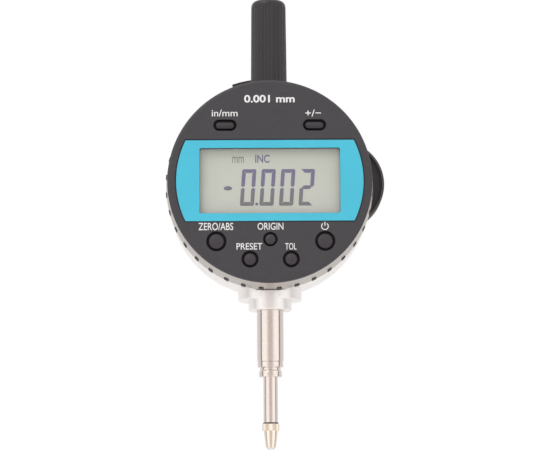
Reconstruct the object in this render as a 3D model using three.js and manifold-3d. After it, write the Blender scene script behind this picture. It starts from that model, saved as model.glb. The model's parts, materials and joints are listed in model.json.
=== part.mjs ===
// An electronic indicator: a round display head that turns on a metal case, an 8 mm stem below it,
// and a spring-loaded spindle that runs through both and carries a ball contact.
// Millimetres. X is right, Y is back (the display faces -Y) and Z is up. The origin is on the
// measuring axis, at the shoulder where the stem leaves the case's collar.
import * as THREE from "three";
import { mergeVertices } from "three/addons/utils/BufferGeometryUtils.js";
import Module from "manifold-3d";

const wasm = await Module();
wasm.setup();

// ---------------------------------------------------------------- driving dimensions

// Segments around a full turn.
const FINE = 60;
const ROUND = 24;
const SMALL = 16;
const TINY = 10;

// Gaps: between static neighbours, and round the spindle where it runs.
const GAP = 0.1;
const RUNNING = 0.05;
const PAST = 1; // how far a cutting tool reaches past the face it cuts

// Round head. Depths along Y, radii from the head's axis, which passes through HEAD_Z.
const HEAD_Z = 36.8;
const FACE_FRONT = -18;
const FACE_BACK = -16.2;
const FACE_R = 30.3;
const FACE_CHAMFER = 0.5;
const SPIGOT_R = [28, 29.2];
const SPIGOT_BACK = -15.4;

// Coloured panel round the window, and the window.
const PANEL_R = 27.75;
const PANEL_HALF_HEIGHT = 12.2;
const PANEL_THICK = 0.35;
const PANEL_POCKET = 0.4;
const PANEL_MARGIN = 0.12;
const WINDOW_SIZE = [41.5, 19.5];
const WINDOW_CORNER = 0.6;
const LENS_BACK = -16.4;

// Display stack behind the face cover.
const LCD_SIZE = [43.5, 22];
const LCD_DEPTHS = [-15.9, -13.7];
const LCD_FRAME_SIZE = [46, 24.4];
const LCD_FRAME_INSIDE = [43.9, 22.4];
const LCD_FRAME_DEPTHS = [-16.1, -12.1];
const STRIP_SIZE = [40, 1.6];
const STRIP_Z = 9.6;
const BOARD_R = 27.4;
const BOARD_DEPTHS = [-11.9, -10.7];
const MAT_DEPTHS = [-12.9, -12.1];
const UPPER_MAT = { size: [36, 6.4], corner: 1.5, z: 16.6 };
const LOWER_MAT_TOP = -13.6;
const CHIP_SIZE = [8, 1.2, 8];
const CHIP_AT = [-12, 4];

// Bezel ring. It widens towards the back, where the grip ring's pads fill notches in its edge.
const BEZEL_R = [29.4, 31.05];
const BEZEL_FRONT_R = 30.15;
const BEZEL_DEPTHS = [-16.1, -5.7];
const BEZEL_WIDE_FROM = -6.6;
const PAD_COUNT = 36;
const PAD_WIDTH = 1.4;
const PAD_R = [30.1, 31.2];
const PAD_FRONT = -9;
const GRIP_R = [29.5, 30.5];
const GRIP_DEPTHS = [-5.65, -5.35];
const NOTCH_MARGIN = 0.1;

// Display carrier: a tub with a hub that turns in the case's front wall.
const TUB_R = [27.8, 29.2];
const TUB_FRONT = -14.9;
const TUB_FLOOR = [-8.5, -7];
const HUB_R = [5.5, 10];
const HUB_BACK = -3.5;
const RETAINER_R = [5.6, 11.6];
const RETAINER_DEPTHS = [-3.4, -2.55];
const HUB_SCREW_COUNT = 3;
const HUB_SCREW_AT = 7.8;
const HUB_SCREW_R = [0.75, 1.4]; // thread and head
const HUB_SCREW_FRONT = -6.5;
const HUB_SCREW_HEAD = 0.55;
const HUB_HOLE_R = 0.85;
const LUG_R = [18, 22];
const LUG_HALF_ANGLE = THREE.MathUtils.degToRad(38);
const LUG_BACK = -5.6;

// Case. It is a cup, open at the back.
const CASE_R = [29.1, 31];
const CASE_DEPTHS = [-5.2, 14.2];
const CASE_FRONT_WALL = 1.6;
const CASE_OPENING_R = 10.3;
const CASE_CHAMFER = 0.5;
const BOSS_R = 9.6;
const BOSS_AT_DEPTH = 3.3; // the boss is centred on the case, behind the measuring axis
const BOSS_BOTTOM = 3.3;
const BOSS_HOLLOW_R = 31.35; // the boss is hollowed to this round the head, under the turning ring
const BOSS_TOP = 8.2;
const COLLAR_R = 6.45;
const TOP_BOSS_R = 5;
const TOP_BOSS = [62, 68];
const FLANGE_RELIEF_R = 4.5; // cleared from the front wall round the upper bush's flange
const POST_AT = 26;
const POST_R = 2.5;
const POST_BACK = 13.3;
const BACK_SCREW_COUNT = 4;
const BACK_SCREW_R = [1, 2.1]; // thread and head
const BACK_SCREW_FRONT = 8.5;
const BACK_HOLE_R = 1.15;
const CROSS_REACH = 1.3;
const CROSS_HALF_WIDTH = 0.22;
const CROSS_DEPTH = 0.6;
const BACK_R = 30.65;
const BACK_DEPTHS = [14.25, 15.7];
const GASKET_R = [27.2, 28.9];
const GASKET_DEPTHS = [13.5, 14.2];
const STOP_PIN_R = 1.8;
const STOP_PIN_AT = 20;
const STOP_PIN_FRONT = -6.8;

// Data port behind the dust cap, up and to the left.
const PORT_ANGLES = [88, 108.4].map(THREE.MathUtils.degToRad);
const PORT_DEPTHS = [5.8, 11.5];
const PORT_HOUSING_R = 35.5;
const PORT_COVER_R = 35.95;
const PORT_WALL = 1.1;
const PORT_SOCKET_R = [25.5, 33.5];
const PORT_SOCKET_INSET = 1.4;
const PORT_MOUTH_R = [28, 34.5];
const PORT_MOUTH_INSET = 2.3;

// Stem and guide bushes, on the measuring axis.
const STEM_R = [2.75, 4];
const STEM_Z = [-17.05, 8];
const STEM_STEP_Z = -15.2;
const STEM_STEP_R = 3.85;
const BUSH_TIP_Z = -19.95;
const BUSH_TIP_R = 3.42;
const BUSH_NUT_HEIGHT = 1.7;
const BUSH_NECK_R = 3.1;
const BUSH_NECK_Z = [-17.9, -17.15];
const BUSH_TOP_Z = -8;
const SLEEVE_R = 4;
const SLEEVE_Z = [60.3, 76];
const SLEEVE_FLANGE_R = 4.4;
const BUFFER_R = [2.4, 3.4];
const BUFFER_Z = [8.1, 9.6];

// Spindle and what it carries.
const SPINDLE_R = 2.15;
const SPINDLE_Z = [-33.5, 78.8];
const TRAVEL = 12.7;
const STOP_COLLAR_Z = [9.7, 11.9];
const PIN_R = 0.8;
const PIN_Z = 20;
const PIN_TIP_X = -8.5;
const CARRIER_HALF_WIDTH = 2.9;
const CARRIER_DEPTHS = [2.25, 4.1];
const CARRIER_Z = [18, 46];
const SADDLE_R = 3.4;
const SADDLE_HEIGHT = 3;
const SADDLE_FRONT = -1.2;
const SCALE_DEPTHS = [4.15, 4.95];
const SCALE_HALF_WIDTH = 2.6;
const POINT_COLLAR_R = 2.5;
const POINT_COLLAR_Z = [-35.95, -33.85];
const POINT_TAPER_R = [2.1, 1.52];
const POINT_TIP_Z = -40.85;
const POINT_STUB_R = 1.2;
const POINT_STUB_TOP = -29.2;
const BALL_R = 1.25;
const BALL_Z = -40.55;

// Guide rail, return spring and sensor.
const RAIL_X = [-9, -6.9];
const RAIL_DEPTHS = [-2.3, 3.5];
const RAIL_Z = [9.5, 40];
const RAIL_SLOT_Z = [PIN_Z - 3, PIN_Z + TRAVEL + 3];
const SPRING_AT = [-5.6, 3.1];
const SPRING_R = 0.9;
const SPRING_WIRE_R = 0.18;
const SPRING_Z = [14.9, 26.2];
const SPRING_TURNS = 9;
const SPRING_ARM_X = [-6.4, -2.7];
const SPRING_ARM_DEPTHS = [2.4, 4];
const SPRING_ARM_Z = [26.7, 28.2];
const SPRING_POST_Z = 13.9;
const SPRING_POST_R = 0.7;
const SENSOR_BOARD = { x: [-8, 7.5], y: [5.5, 6.7], z: [27, 46] };
const BRACKET = { x: [-12, 8.2], y: [7, 8.2], z: [24, 49] };
const BRACKET_LEG = 2.2;
const BRACKET_SCREW_R = [0.55, 1.3]; // thread and head
const BRACKET_SCREW_REACH = 2.6;
const BRACKET_HOLE_R = 0.65;
const FLEX_X = [4.2, 4.5];
const FLEX_HALF_HEIGHT = 2;
const FLEX_TAIL_X = 7.2;
const FLEX_TAIL_DEPTHS = [5.05, 5.35];

// Battery tray. Heights are from the head's centre.
const CELL_AT = [21.5, 1.8];
const CELL_R = 10;
const CELL_DEPTHS = [1.6, 4.8];
const CELL_STEP_R = [8.8, 9]; // the smaller pole at the front, and the foot of its edge
const CELL_STEP = [0.3, 0.5];
const TRAY_HEAD_R = 13.4;
const TRAY_HALF_HEIGHT = 11.2;
const TRAY_INNER_X = 9.8;
const TRAY_DEPTHS = [-0.4, 6.6];
const TRAY_LIP = 0.75;
const TRAY_RECESS = 1.2;
const TRAY_WINDOW_R = 7;

// Battery contacts: leaves on the case side of the cell.
const LEAF_THICK = 0.3;
const LEAF_HALF_WIDTH = 2.5;
const LEAF_FOOT_X = [11, 16.2];
const LEAF_RISER_X = [16, 16.3];
const LEAF_TONGUE_X = [16.1, 25];

// Dust cap.
const CAP_Z = [68.3, 95.6];
const CAP_FOOT_R = 5.5;
const CAP_HEAD_R = 5.27;
const CAP_CORNER = 1.9;
const CAP_BORE_R = 4.05;
const CAP_ROOF = 2;
const NUB_R = 1.9;
const NUB_TOP = 96.4;
const NUB_CORNER = 0.6;

// Buttons: where each stands on the face, the hole it fills and the size of its cap.
const BUTTON_FRONT = -18;
const BUTTON_REAR = -13.6;
const FLANGE_DEPTHS = [-16.1, -15.5];
const FLANGE_MARGIN = 0.7;
const BUTTONS = [
  { name: "button_units", at: [-13.2, 16.6], hole: [6.86, 3.4], cap: [5.7, 2.3] },
  { name: "button_sign", at: [13.3, 16.6], hole: [6.86, 3.4], cap: [5.7, 2.3] },
  { name: "button_zero", at: [-15.8, -18.1], hole: [5.9, 5.9], cap: [4.75, 4.75] },
  { name: "button_power", at: [16.15, -18.1], hole: [5.9, 5.9], cap: [4.75, 4.75] },
  { name: "button_origin", at: [0.05, -17.5], hole: [4.27, 4.27], cap: [3.4, 3.4] },
  { name: "button_preset", at: [-5.95, -23.4], hole: [5, 5], cap: [3.9, 3.9] },
  { name: "button_tolerance", at: [6.15, -23.4], hole: [5, 5], cap: [3.9, 3.9] },
];

// ---------------------------------------------------------------- finishes

const FINISHES = {
  face: { color: 0x4f4d52, roughness: 0.55, metalness: 0 },
  panel: { color: 0x54c4e2, roughness: 0.45, metalness: 0 },
  lens: { color: 0xdfe6e4, roughness: 0.05, metalness: 0 },
  lcd: { color: 0xbebfb4, roughness: 0.3, metalness: 0 },
  blackPlastic: { color: 0x2c2a2c, roughness: 0.6, metalness: 0 },
  rubber: { color: 0x3a393b, roughness: 0.85, metalness: 0 },
  board: { color: 0x1f6b45, roughness: 0.5, metalness: 0 },
  steel: { color: 0xc9bdb6, roughness: 0.25, metalness: 1 },
  satin: { color: 0xc8bfbb, roughness: 0.4, metalness: 1 },
  casting: { color: 0xe6e3e1, roughness: 0.5, metalness: 0.6 },
  contact: { color: 0xd9c7ab, roughness: 0.25, metalness: 1 },
  glass: { color: 0x9fb4b8, roughness: 0.1, metalness: 0 },
  amber: { color: 0xb5762c, roughness: 0.5, metalness: 0 },
  cell: { color: 0xc4c5c6, roughness: 0.3, metalness: 1 },
};

function piece(name, geometry, finish) {
  const mesh = new THREE.Mesh(geometry, new THREE.MeshStandardMaterial(FINISHES[finish]));
  mesh.name = name;
  return mesh;
}

// ---------------------------------------------------------------- shapes and solids

function solidOf(geometry) {
  const bare = geometry.clone();
  bare.deleteAttribute("normal");
  bare.deleteAttribute("uv");
  const merged = mergeVertices(bare, 1e-4);
  const vertProperties = merged.attributes.position.array;
  const triVerts = new Uint32Array(merged.index.array);
  return new wasm.Manifold(new wasm.Mesh({ numProp: 3, vertProperties, triVerts }));
}

function geometryOf(solid) {
  const mesh = solid.getMesh();
  const geometry = new THREE.BufferGeometry();
  const positions = Float32Array.from(mesh.vertProperties);
  geometry.setAttribute("position", new THREE.BufferAttribute(positions, 3));
  geometry.setIndex(new THREE.BufferAttribute(Uint32Array.from(mesh.triVerts), 1));
  geometry.computeVertexNormals();
  return geometry;
}

function join(...geometries) {
  return geometryOf(geometries.map(solidOf).reduce((whole, next) => whole.add(next)));
}

function cut(geometry, ...tools) {
  return geometryOf(tools.map(solidOf).reduce((left, tool) => left.subtract(tool), solidOf(geometry)));
}

function common(geometry, other) {
  return geometryOf(solidOf(geometry).intersect(solidOf(other)));
}

// A solid of revolution about Y from a profile of [radius, y] points.
function revolve(profile, segments = FINE) {
  const points = profile.map(([radius, height]) => new THREE.Vector2(radius, height));
  if (THREE.ShapeUtils.area(points) < 0) points.reverse();
  if (points.every((point) => point.x > 0)) points.push(points[0].clone());
  return new THREE.LatheGeometry(points, segments);
}

// The same about Z, from [radius, z] points.
function revolveUp(profile, segments = ROUND) {
  return revolve(profile, segments).rotateX(Math.PI / 2);
}

function ringProfile([inner, outer], [low, high]) {
  return [
    [inner, low],
    [outer, low],
    [outer, high],
    [inner, high],
  ];
}

function discProfile(radius, [low, high]) {
  return [
    [0, low],
    [radius, low],
    [radius, high],
    [0, high],
  ];
}

// A shape drawn in X and Z, made solid between two depths along Y.
function plate(shape, [front, back], segments = 12) {
  const options = { depth: back - front, bevelEnabled: false, curveSegments: segments };
  return new THREE.ExtrudeGeometry(shape, options).rotateX(Math.PI / 2).translate(0, back, 0);
}

function block([x0, x1], [y0, y1], [z0, z1]) {
  const box = new THREE.BoxGeometry(x1 - x0, y1 - y0, z1 - z0);
  return box.translate((x0 + x1) / 2, (y0 + y1) / 2, (z0 + z1) / 2);
}

function rectangle([width, height], corner = 0) {
  const x = width / 2;
  const z = height / 2;
  const shape = new THREE.Shape();
  if (corner === 0) {
    const corners = [[-x, -z], [x, -z], [x, z], [-x, z]];
    return shape.setFromPoints(corners.map(([a, b]) => new THREE.Vector2(a, b)));
  }
  shape.absarc(x - corner, z - corner, corner, 0, Math.PI / 2);
  shape.absarc(-x + corner, z - corner, corner, Math.PI / 2, Math.PI);
  shape.absarc(-x + corner, -z + corner, corner, Math.PI, 1.5 * Math.PI);
  shape.absarc(x - corner, -z + corner, corner, 1.5 * Math.PI, 2 * Math.PI);
  return shape;
}

// A slot with round ends, or a circle when its width and height are the same.
function stadium([width, height]) {
  const radius = height / 2;
  const reach = (width - height) / 2;
  const shape = new THREE.Shape();
  shape.absarc(reach, 0, radius, -Math.PI / 2, Math.PI / 2);
  shape.absarc(-reach, 0, radius, Math.PI / 2, 1.5 * Math.PI);
  return shape;
}

// Part of a ring between two angles, counted from +X towards +Z.
function sector([inner, outer], [start, end]) {
  const shape = new THREE.Shape();
  shape.absarc(0, 0, outer, start, end, false);
  shape.absarc(0, 0, inner, end, start, true);
  return shape;
}

// Turns a geometry about Y, from +X towards +Z.
function turned(geometry, angle) {
  return geometry.rotateY(-angle);
}

function evenAngles(count, start) {
  return Array.from({ length: count }, (_, index) => start + (index * 2 * Math.PI) / count);
}

function polar(radius, angle) {
  return [radius * Math.cos(angle), radius * Math.sin(angle)];
}

function grown([width, height], margin) {
  return [width + 2 * margin, height + 2 * margin];
}

function placed(mesh, x, y, z) {
  mesh.position.set(x, y, z);
  return mesh;
}

// ---------------------------------------------------------------- display head

function panelShape(radius, halfHeight) {
  const angle = Math.asin(halfHeight / radius);
  const shape = new THREE.Shape();
  shape.absarc(0, 0, radius, -angle, angle, false);
  shape.absarc(0, 0, radius, Math.PI - angle, Math.PI + angle, false);
  return shape;
}

function faceCover() {
  const body = revolve([
    [0, FACE_FRONT],
    [FACE_R - FACE_CHAMFER, FACE_FRONT],
    [FACE_R, FACE_FRONT + FACE_CHAMFER],
    [FACE_R, FACE_BACK],
    [SPIGOT_R[1], FACE_BACK],
    [SPIGOT_R[1], SPIGOT_BACK],
    [SPIGOT_R[0], SPIGOT_BACK],
    [SPIGOT_R[0], FACE_BACK],
    [0, FACE_BACK],
  ]);
  const through = [FACE_FRONT - PAST, FACE_BACK + PAST / 2];
  const pocketDepths = [FACE_FRONT - PAST, FACE_FRONT + PANEL_POCKET];
  const pocket = plate(panelShape(PANEL_R, PANEL_HALF_HEIGHT), pocketDepths, 6);
  const opening = plate(rectangle(WINDOW_SIZE, WINDOW_CORNER), through, 3);
  const holes = BUTTONS.map(({ at, hole }) =>
    plate(stadium(hole), through, 4).translate(at[0], 0, at[1]),
  );
  return piece("face_cover", cut(body, pocket, opening, ...holes), "face");
}

function facePanel() {
  const back = FACE_FRONT + PANEL_POCKET - 0.02;
  const depths = [back - PANEL_THICK, back];
  const shape = panelShape(PANEL_R - PANEL_MARGIN, PANEL_HALF_HEIGHT - PANEL_MARGIN);
  shape.holes.push(rectangle(WINDOW_SIZE, WINDOW_CORNER));
  return piece("face_panel", plate(shape, depths, 6), "panel");
}

function windowLens() {
  const size = grown(WINDOW_SIZE, -GAP);
  const front = FACE_FRONT + PANEL_POCKET + 0.05;
  return piece("window_lens", plate(rectangle(size, WINDOW_CORNER), [front, LENS_BACK], 3), "lens");
}

function lcdGlass() {
  return piece("lcd_glass", plate(rectangle(LCD_SIZE), LCD_DEPTHS), "lcd");
}

function lcdFrame() {
  const shape = rectangle(LCD_FRAME_SIZE, 1.2);
  shape.holes.push(rectangle(LCD_FRAME_INSIDE));
  return piece("lcd_frame", plate(shape, LCD_FRAME_DEPTHS, 4), "blackPlastic");
}

function contactStrip(name, z) {
  const depths = [LCD_DEPTHS[1] + GAP, BOARD_DEPTHS[0] - GAP];
  return placed(piece(name, plate(rectangle(STRIP_SIZE), depths), "rubber"), 0, 0, z);
}

function mainBoard() {
  return piece("main_board", revolve(discProfile(BOARD_R, BOARD_DEPTHS)), "board");
}

function upperMat() {
  const mat = plate(rectangle(UPPER_MAT.size, UPPER_MAT.corner), MAT_DEPTHS, 4);
  return placed(piece("button_mat_upper", mat, "rubber"), 0, 0, UPPER_MAT.z);
}

function lowerMat() {
  const disc = revolve(discProfile(BOARD_R - 1, MAT_DEPTHS), ROUND);
  const below = block([-BOARD_R, BOARD_R], [-20, 0], [-BOARD_R, LOWER_MAT_TOP]);
  return piece("button_mat_lower", common(disc, below), "rubber");
}

function microcontroller() {
  const chip = piece("microcontroller", new THREE.BoxGeometry(...CHIP_SIZE), "blackPlastic");
  return placed(chip, CHIP_AT[0], BOARD_DEPTHS[1] + GAP + CHIP_SIZE[1] / 2, CHIP_AT[1]);
}

function bezelRing() {
  const [inner, outer] = BEZEL_R;
  const [front, back] = BEZEL_DEPTHS;
  const ring = revolve([
    [inner, front],
    [BEZEL_FRONT_R, front],
    [outer, BEZEL_WIDE_FROM],
    [outer, back],
    [inner, back],
  ]);
  const half = PAD_WIDTH / 2 + NOTCH_MARGIN;
  const notches = padAngles().map((angle) =>
    turned(
      block([PAD_R[0] - NOTCH_MARGIN, outer + PAST], [PAD_FRONT - NOTCH_MARGIN, 0], [-half, half]),
      angle,
    ),
  );
  return piece("bezel_ring", cut(ring, ...notches), "satin");
}

// The pads stand in pairs about the lowest point, half a pitch to each side.
function padAngles() {
  return evenAngles(PAD_COUNT, -Math.PI / 2 + Math.PI / PAD_COUNT);
}

function gripRing() {
  const ring = revolve(ringProfile(GRIP_R, GRIP_DEPTHS));
  const half = PAD_WIDTH / 2;
  const pads = padAngles().map((angle) =>
    turned(block(PAD_R, [PAD_FRONT, GRIP_DEPTHS[1]], [-half, half]), angle),
  );
  return piece("grip_ring", join(ring, ...pads), "rubber");
}

function hubScrewAngles() {
  return evenAngles(HUB_SCREW_COUNT, Math.PI / 6);
}

function displayCarrier() {
  const tub = revolve([
    [HUB_R[0], TUB_FLOOR[0]],
    [TUB_R[0], TUB_FLOOR[0]],
    [TUB_R[0], TUB_FRONT],
    [TUB_R[1], TUB_FRONT],
    [TUB_R[1], TUB_FLOOR[1]],
    [HUB_R[1], TUB_FLOOR[1]],
    [HUB_R[1], HUB_BACK],
    [HUB_R[0], HUB_BACK],
  ]);
  const up = Math.PI / 2;
  const lugShape = sector(LUG_R, [up - LUG_HALF_ANGLE, up + LUG_HALF_ANGLE]);
  const lug = plate(lugShape, [TUB_FLOOR[1] - 0.5, LUG_BACK], 10);
  const holes = hubScrewAngles().map((angle) => {
    const [x, z] = polar(HUB_SCREW_AT, angle);
    return revolve(discProfile(HUB_HOLE_R, [HUB_SCREW_FRONT - 0.3, 0]), TINY).translate(x, 0, z);
  });
  return piece("display_carrier", cut(join(tub, lug), ...holes), "blackPlastic");
}

function hubScrewProfile(margin) {
  const [thread, head] = HUB_SCREW_R.map((radius) => radius + margin);
  const seat = RETAINER_DEPTHS[1] - HUB_SCREW_HEAD - margin;
  const back = RETAINER_DEPTHS[1] + margin;
  return [
    [0, HUB_SCREW_FRONT],
    [thread, HUB_SCREW_FRONT],
    [thread, seat],
    [head, seat],
    [head, back],
    [0, back],
  ];
}

function retainingRing() {
  const ring = revolve(ringProfile(RETAINER_R, RETAINER_DEPTHS), 36);
  const holes = hubScrewAngles().map((angle) => {
    const [x, z] = polar(HUB_SCREW_AT, angle);
    return revolve(hubScrewProfile(GAP), TINY).translate(x, 0, z);
  });
  return piece("retaining_ring", cut(ring, ...holes), "steel");
}

function hubScrews() {
  return hubScrewAngles().map((angle, index) => {
    const [x, z] = polar(HUB_SCREW_AT, angle);
    const screw = piece(`hub_screw_${index + 1}`, revolve(hubScrewProfile(0), TINY), "steel");
    return placed(screw, x, 0, z);
  });
}

function displayHead() {
  const group = new THREE.Group();
  group.position.z = HEAD_Z;
  group.add(faceCover(), facePanel(), windowLens(), lcdGlass(), lcdFrame());
  group.add(contactStrip("contact_strip_top", STRIP_Z), contactStrip("contact_strip_bottom", -STRIP_Z));
  group.add(mainBoard(), upperMat(), lowerMat(), microcontroller());
  group.add(bezelRing(), gripRing(), displayCarrier(), retainingRing(), ...hubScrews());
  return group;
}

// ---------------------------------------------------------------- buttons

function button({ name, at, hole, cap }) {
  const edge = 0.3;
  const body = plate(stadium(cap), [BUTTON_FRONT + edge, BUTTON_REAR], 4);
  const crown = plate(stadium(grown(cap, -edge)), [BUTTON_FRONT, BUTTON_FRONT + edge + 0.1], 4);
  const flange = plate(stadium(grown(hole, FLANGE_MARGIN)), FLANGE_DEPTHS, 4);
  const made = piece(name, join(body, crown, flange), "rubber");
  return placed(made, at[0], 0, at[1]);
}

function buttons() {
  const group = new THREE.Group();
  group.position.z = HEAD_Z;
  group.add(...BUTTONS.map(button));
  return group;
}

// ---------------------------------------------------------------- case

function backScrewAngles() {
  return evenAngles(BACK_SCREW_COUNT, Math.PI / 4);
}

function caseCup() {
  const [inner, outer] = CASE_R;
  const [front, back] = CASE_DEPTHS;
  const wallBack = front + CASE_FRONT_WALL;
  return revolve([
    [CASE_OPENING_R, front],
    [outer - CASE_CHAMFER, front],
    [outer, front + CASE_CHAMFER],
    [outer, back],
    [inner, back],
    [inner, wallBack],
    [CASE_OPENING_R, wallBack],
  ]).translate(0, 0, HEAD_Z);
}

function bottomBoss() {
  const boss = revolveUp([
    [0, BOSS_BOTTOM],
    [BOSS_R - 0.3, BOSS_BOTTOM],
    [BOSS_R, BOSS_BOTTOM + 0.3],
    [BOSS_R, BOSS_TOP],
    [0, BOSS_TOP],
  ], 36);
  const collar = revolveUp([
    [0, 0],
    [COLLAR_R - 0.25, 0],
    [COLLAR_R, 0.25],
    [COLLAR_R, BOSS_TOP],
    [0, BOSS_TOP],
  ], 36);
  const hollow = revolve(discProfile(BOSS_HOLLOW_R, [-20, CASE_DEPTHS[0]]), 2 * FINE);
  return cut(join(boss.translate(0, BOSS_AT_DEPTH, 0), collar), hollow.translate(0, 0, HEAD_Z));
}

function screwPosts() {
  return backScrewAngles().map((angle) => {
    const [x, z] = polar(POST_AT, angle);
    const depths = [CASE_DEPTHS[0] + CASE_FRONT_WALL / 2, POST_BACK];
    return revolve(discProfile(POST_R, depths), SMALL).translate(x, 0, z + HEAD_Z);
  });
}

function portHousing() {
  const outline = sector([CASE_R[0] + 0.4, PORT_HOUSING_R], PORT_ANGLES);
  return plate(outline, PORT_DEPTHS, 4).translate(0, 0, HEAD_Z);
}

function portAngles(inset) {
  const turn = inset / PORT_HOUSING_R;
  return [PORT_ANGLES[0] + turn, PORT_ANGLES[1] - turn];
}

function portDepths(inset) {
  return [PORT_DEPTHS[0] + inset, PORT_DEPTHS[1] - inset];
}

function portPocket() {
  const outline = sector([CASE_R[0] - PAST, PORT_HOUSING_R + PAST], portAngles(PORT_WALL));
  return plate(outline, portDepths(PORT_WALL), 4).translate(0, 0, HEAD_Z);
}

function caseShell() {
  const topBoss = revolveUp(discProfile(TOP_BOSS_R, TOP_BOSS));
  const slotHalf = TRAY_HALF_HEIGHT + 0.2;
  const slotZ = HEAD_Z + CELL_AT[1];
  const slot = block(
    [20, 40],
    [TRAY_DEPTHS[0] - 0.2, TRAY_DEPTHS[1] + 0.2],
    [slotZ - slotHalf, slotZ + slotHalf],
  );
  const stemBore = revolveUp(discProfile(STEM_R[1] + RUNNING, [-PAST, BOSS_TOP + PAST]));
  const sleeveBore = revolveUp(discProfile(SLEEVE_R + RUNNING, [TOP_BOSS[0] - PAST, TOP_BOSS[1] + PAST]));
  const relief = revolveUp(discProfile(FLANGE_RELIEF_R, [SLEEVE_Z[0] - 0.5, TOP_BOSS[0]]));
  const pinHole = revolve(discProfile(STOP_PIN_R + RUNNING, [-8, 0]), SMALL);
  const screwHoles = backScrewAngles().map((angle) => {
    const [x, z] = polar(POST_AT, angle);
    const depths = [BACK_SCREW_FRONT - PAST, POST_BACK + PAST];
    return revolve(discProfile(BACK_HOLE_R, depths), TINY).translate(x, 0, z + HEAD_Z);
  });
  const made = cut(
    join(caseCup(), bottomBoss(), topBoss, portHousing(), ...screwPosts()),
    slot,
    stemBore,
    sleeveBore,
    relief,
    portPocket(),
    pinHole.translate(0, 0, HEAD_Z - STOP_PIN_AT),
    ...screwHoles,
  );
  return piece("case_shell", made, "casting");
}

function stem() {
  const [bore, outer] = STEM_R;
  const [bottom, top] = STEM_Z;
  return piece(
    "stem",
    revolveUp([
      [bore, bottom],
      [STEM_STEP_R - 0.2, bottom],
      [STEM_STEP_R, bottom + 0.2],
      [STEM_STEP_R, STEM_STEP_Z],
      [outer, STEM_STEP_Z],
      [outer, top],
      [bore, top],
    ]),
    "steel",
  );
}

function lowerBush() {
  const bore = SPINDLE_R + RUNNING;
  const fit = STEM_R[0] - RUNNING;
  return piece(
    "lower_bush",
    revolveUp([
      [bore, BUSH_TIP_Z],
      [BUSH_TIP_R - 0.3, BUSH_TIP_Z],
      [BUSH_TIP_R, BUSH_TIP_Z + 0.3],
      [BUSH_TIP_R, BUSH_TIP_Z + BUSH_NUT_HEIGHT],
      [BUSH_NECK_R, BUSH_NECK_Z[0]],
      [BUSH_NECK_R, BUSH_NECK_Z[1]],
      [fit, BUSH_NECK_Z[1]],
      [fit, BUSH_TOP_Z],
      [bore, BUSH_TOP_Z],
    ]),
    "steel",
  );
}

function upperBush() {
  const bore = SPINDLE_R + RUNNING;
  const flangeTop = TOP_BOSS[0] - 0.3;
  return piece(
    "upper_bush",
    revolveUp([
      [bore, SLEEVE_Z[0]],
      [SLEEVE_FLANGE_R, SLEEVE_Z[0]],
      [SLEEVE_FLANGE_R, flangeTop],
      [SLEEVE_R, flangeTop],
      [SLEEVE_R, SLEEVE_Z[1] - 0.4],
      [SLEEVE_R - 0.4, SLEEVE_Z[1]],
      [bore, SLEEVE_Z[1]],
    ]),
    "steel",
  );
}

function stopBuffer() {
  return piece("stop_buffer", revolveUp(ringProfile(BUFFER_R, BUFFER_Z), SMALL), "rubber");
}

function rotationStopPin() {
  const depths = [STOP_PIN_FRONT, CASE_DEPTHS[0] + CASE_FRONT_WALL];
  const pin = piece("rotation_stop_pin", revolve(discProfile(STOP_PIN_R, depths), SMALL), "steel");
  return placed(pin, 0, 0, HEAD_Z - STOP_PIN_AT);
}

function guideRail() {
  const half = PIN_R + GAP;
  const slot = block([RAIL_X[0] - PAST, RAIL_X[1] + PAST], [-half, half], RAIL_SLOT_Z);
  return piece("guide_rail", cut(block(RAIL_X, RAIL_DEPTHS, RAIL_Z), slot), "steel");
}

function sensorBoard() {
  const { x, y, z } = SENSOR_BOARD;
  return piece("sensor_board", block(x, y, z), "board");
}

function bracketLegZ() {
  const [low, high] = BRACKET.z;
  return [
    [low, low + BRACKET_LEG],
    [high - BRACKET_LEG, high],
  ];
}

function sensorBracket() {
  const { x, y, z } = BRACKET;
  const legX = [x[0], x[0] + BRACKET_LEG];
  const legs = bracketLegZ().map((span) => block(legX, [CASE_DEPTHS[0] + 1.8, y[1]], span));
  const holes = bracketLegZ().map((span) =>
    revolve(discProfile(BRACKET_HOLE_R, [y[1] - 3, y[1] + PAST]), TINY).translate(
      x[0] + BRACKET_LEG / 2,
      0,
      (span[0] + span[1]) / 2,
    ),
  );
  return piece("sensor_bracket", cut(join(block(x, y, z), ...legs), ...holes), "satin");
}

function bracketScrews() {
  const { x, y } = BRACKET;
  const [thread, head] = BRACKET_SCREW_R;
  const profile = [
    [0, y[1] - BRACKET_SCREW_REACH],
    [thread, y[1] - BRACKET_SCREW_REACH],
    [thread, y[1] + GAP],
    [head, y[1] + GAP],
    [head, y[1] + 1],
    [0, y[1] + 1],
  ];
  return bracketLegZ().map((span, index) => {
    const screw = piece(`bracket_screw_${index + 1}`, revolve(profile, TINY), "steel");
    return placed(screw, x[0] + BRACKET_LEG / 2, 0, (span[0] + span[1]) / 2);
  });
}

function springPost() {
  const depths = [CASE_DEPTHS[0] + CASE_FRONT_WALL + 0.1, SPRING_AT[1] + SPRING_R];
  const post = piece("spring_post", revolve(discProfile(SPRING_POST_R, depths), TINY), "steel");
  return placed(post, SPRING_AT[0], 0, SPRING_POST_Z);
}

class Helix extends THREE.Curve {
  constructor(radius, height, turns) {
    super();
    this.radius = radius;
    this.height = height;
    this.turns = turns;
  }

  getPoint(t, target = new THREE.Vector3()) {
    const angle = 2 * Math.PI * this.turns * t;
    return target.set(this.radius * Math.cos(angle), this.radius * Math.sin(angle), this.height * t);
  }
}

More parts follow.
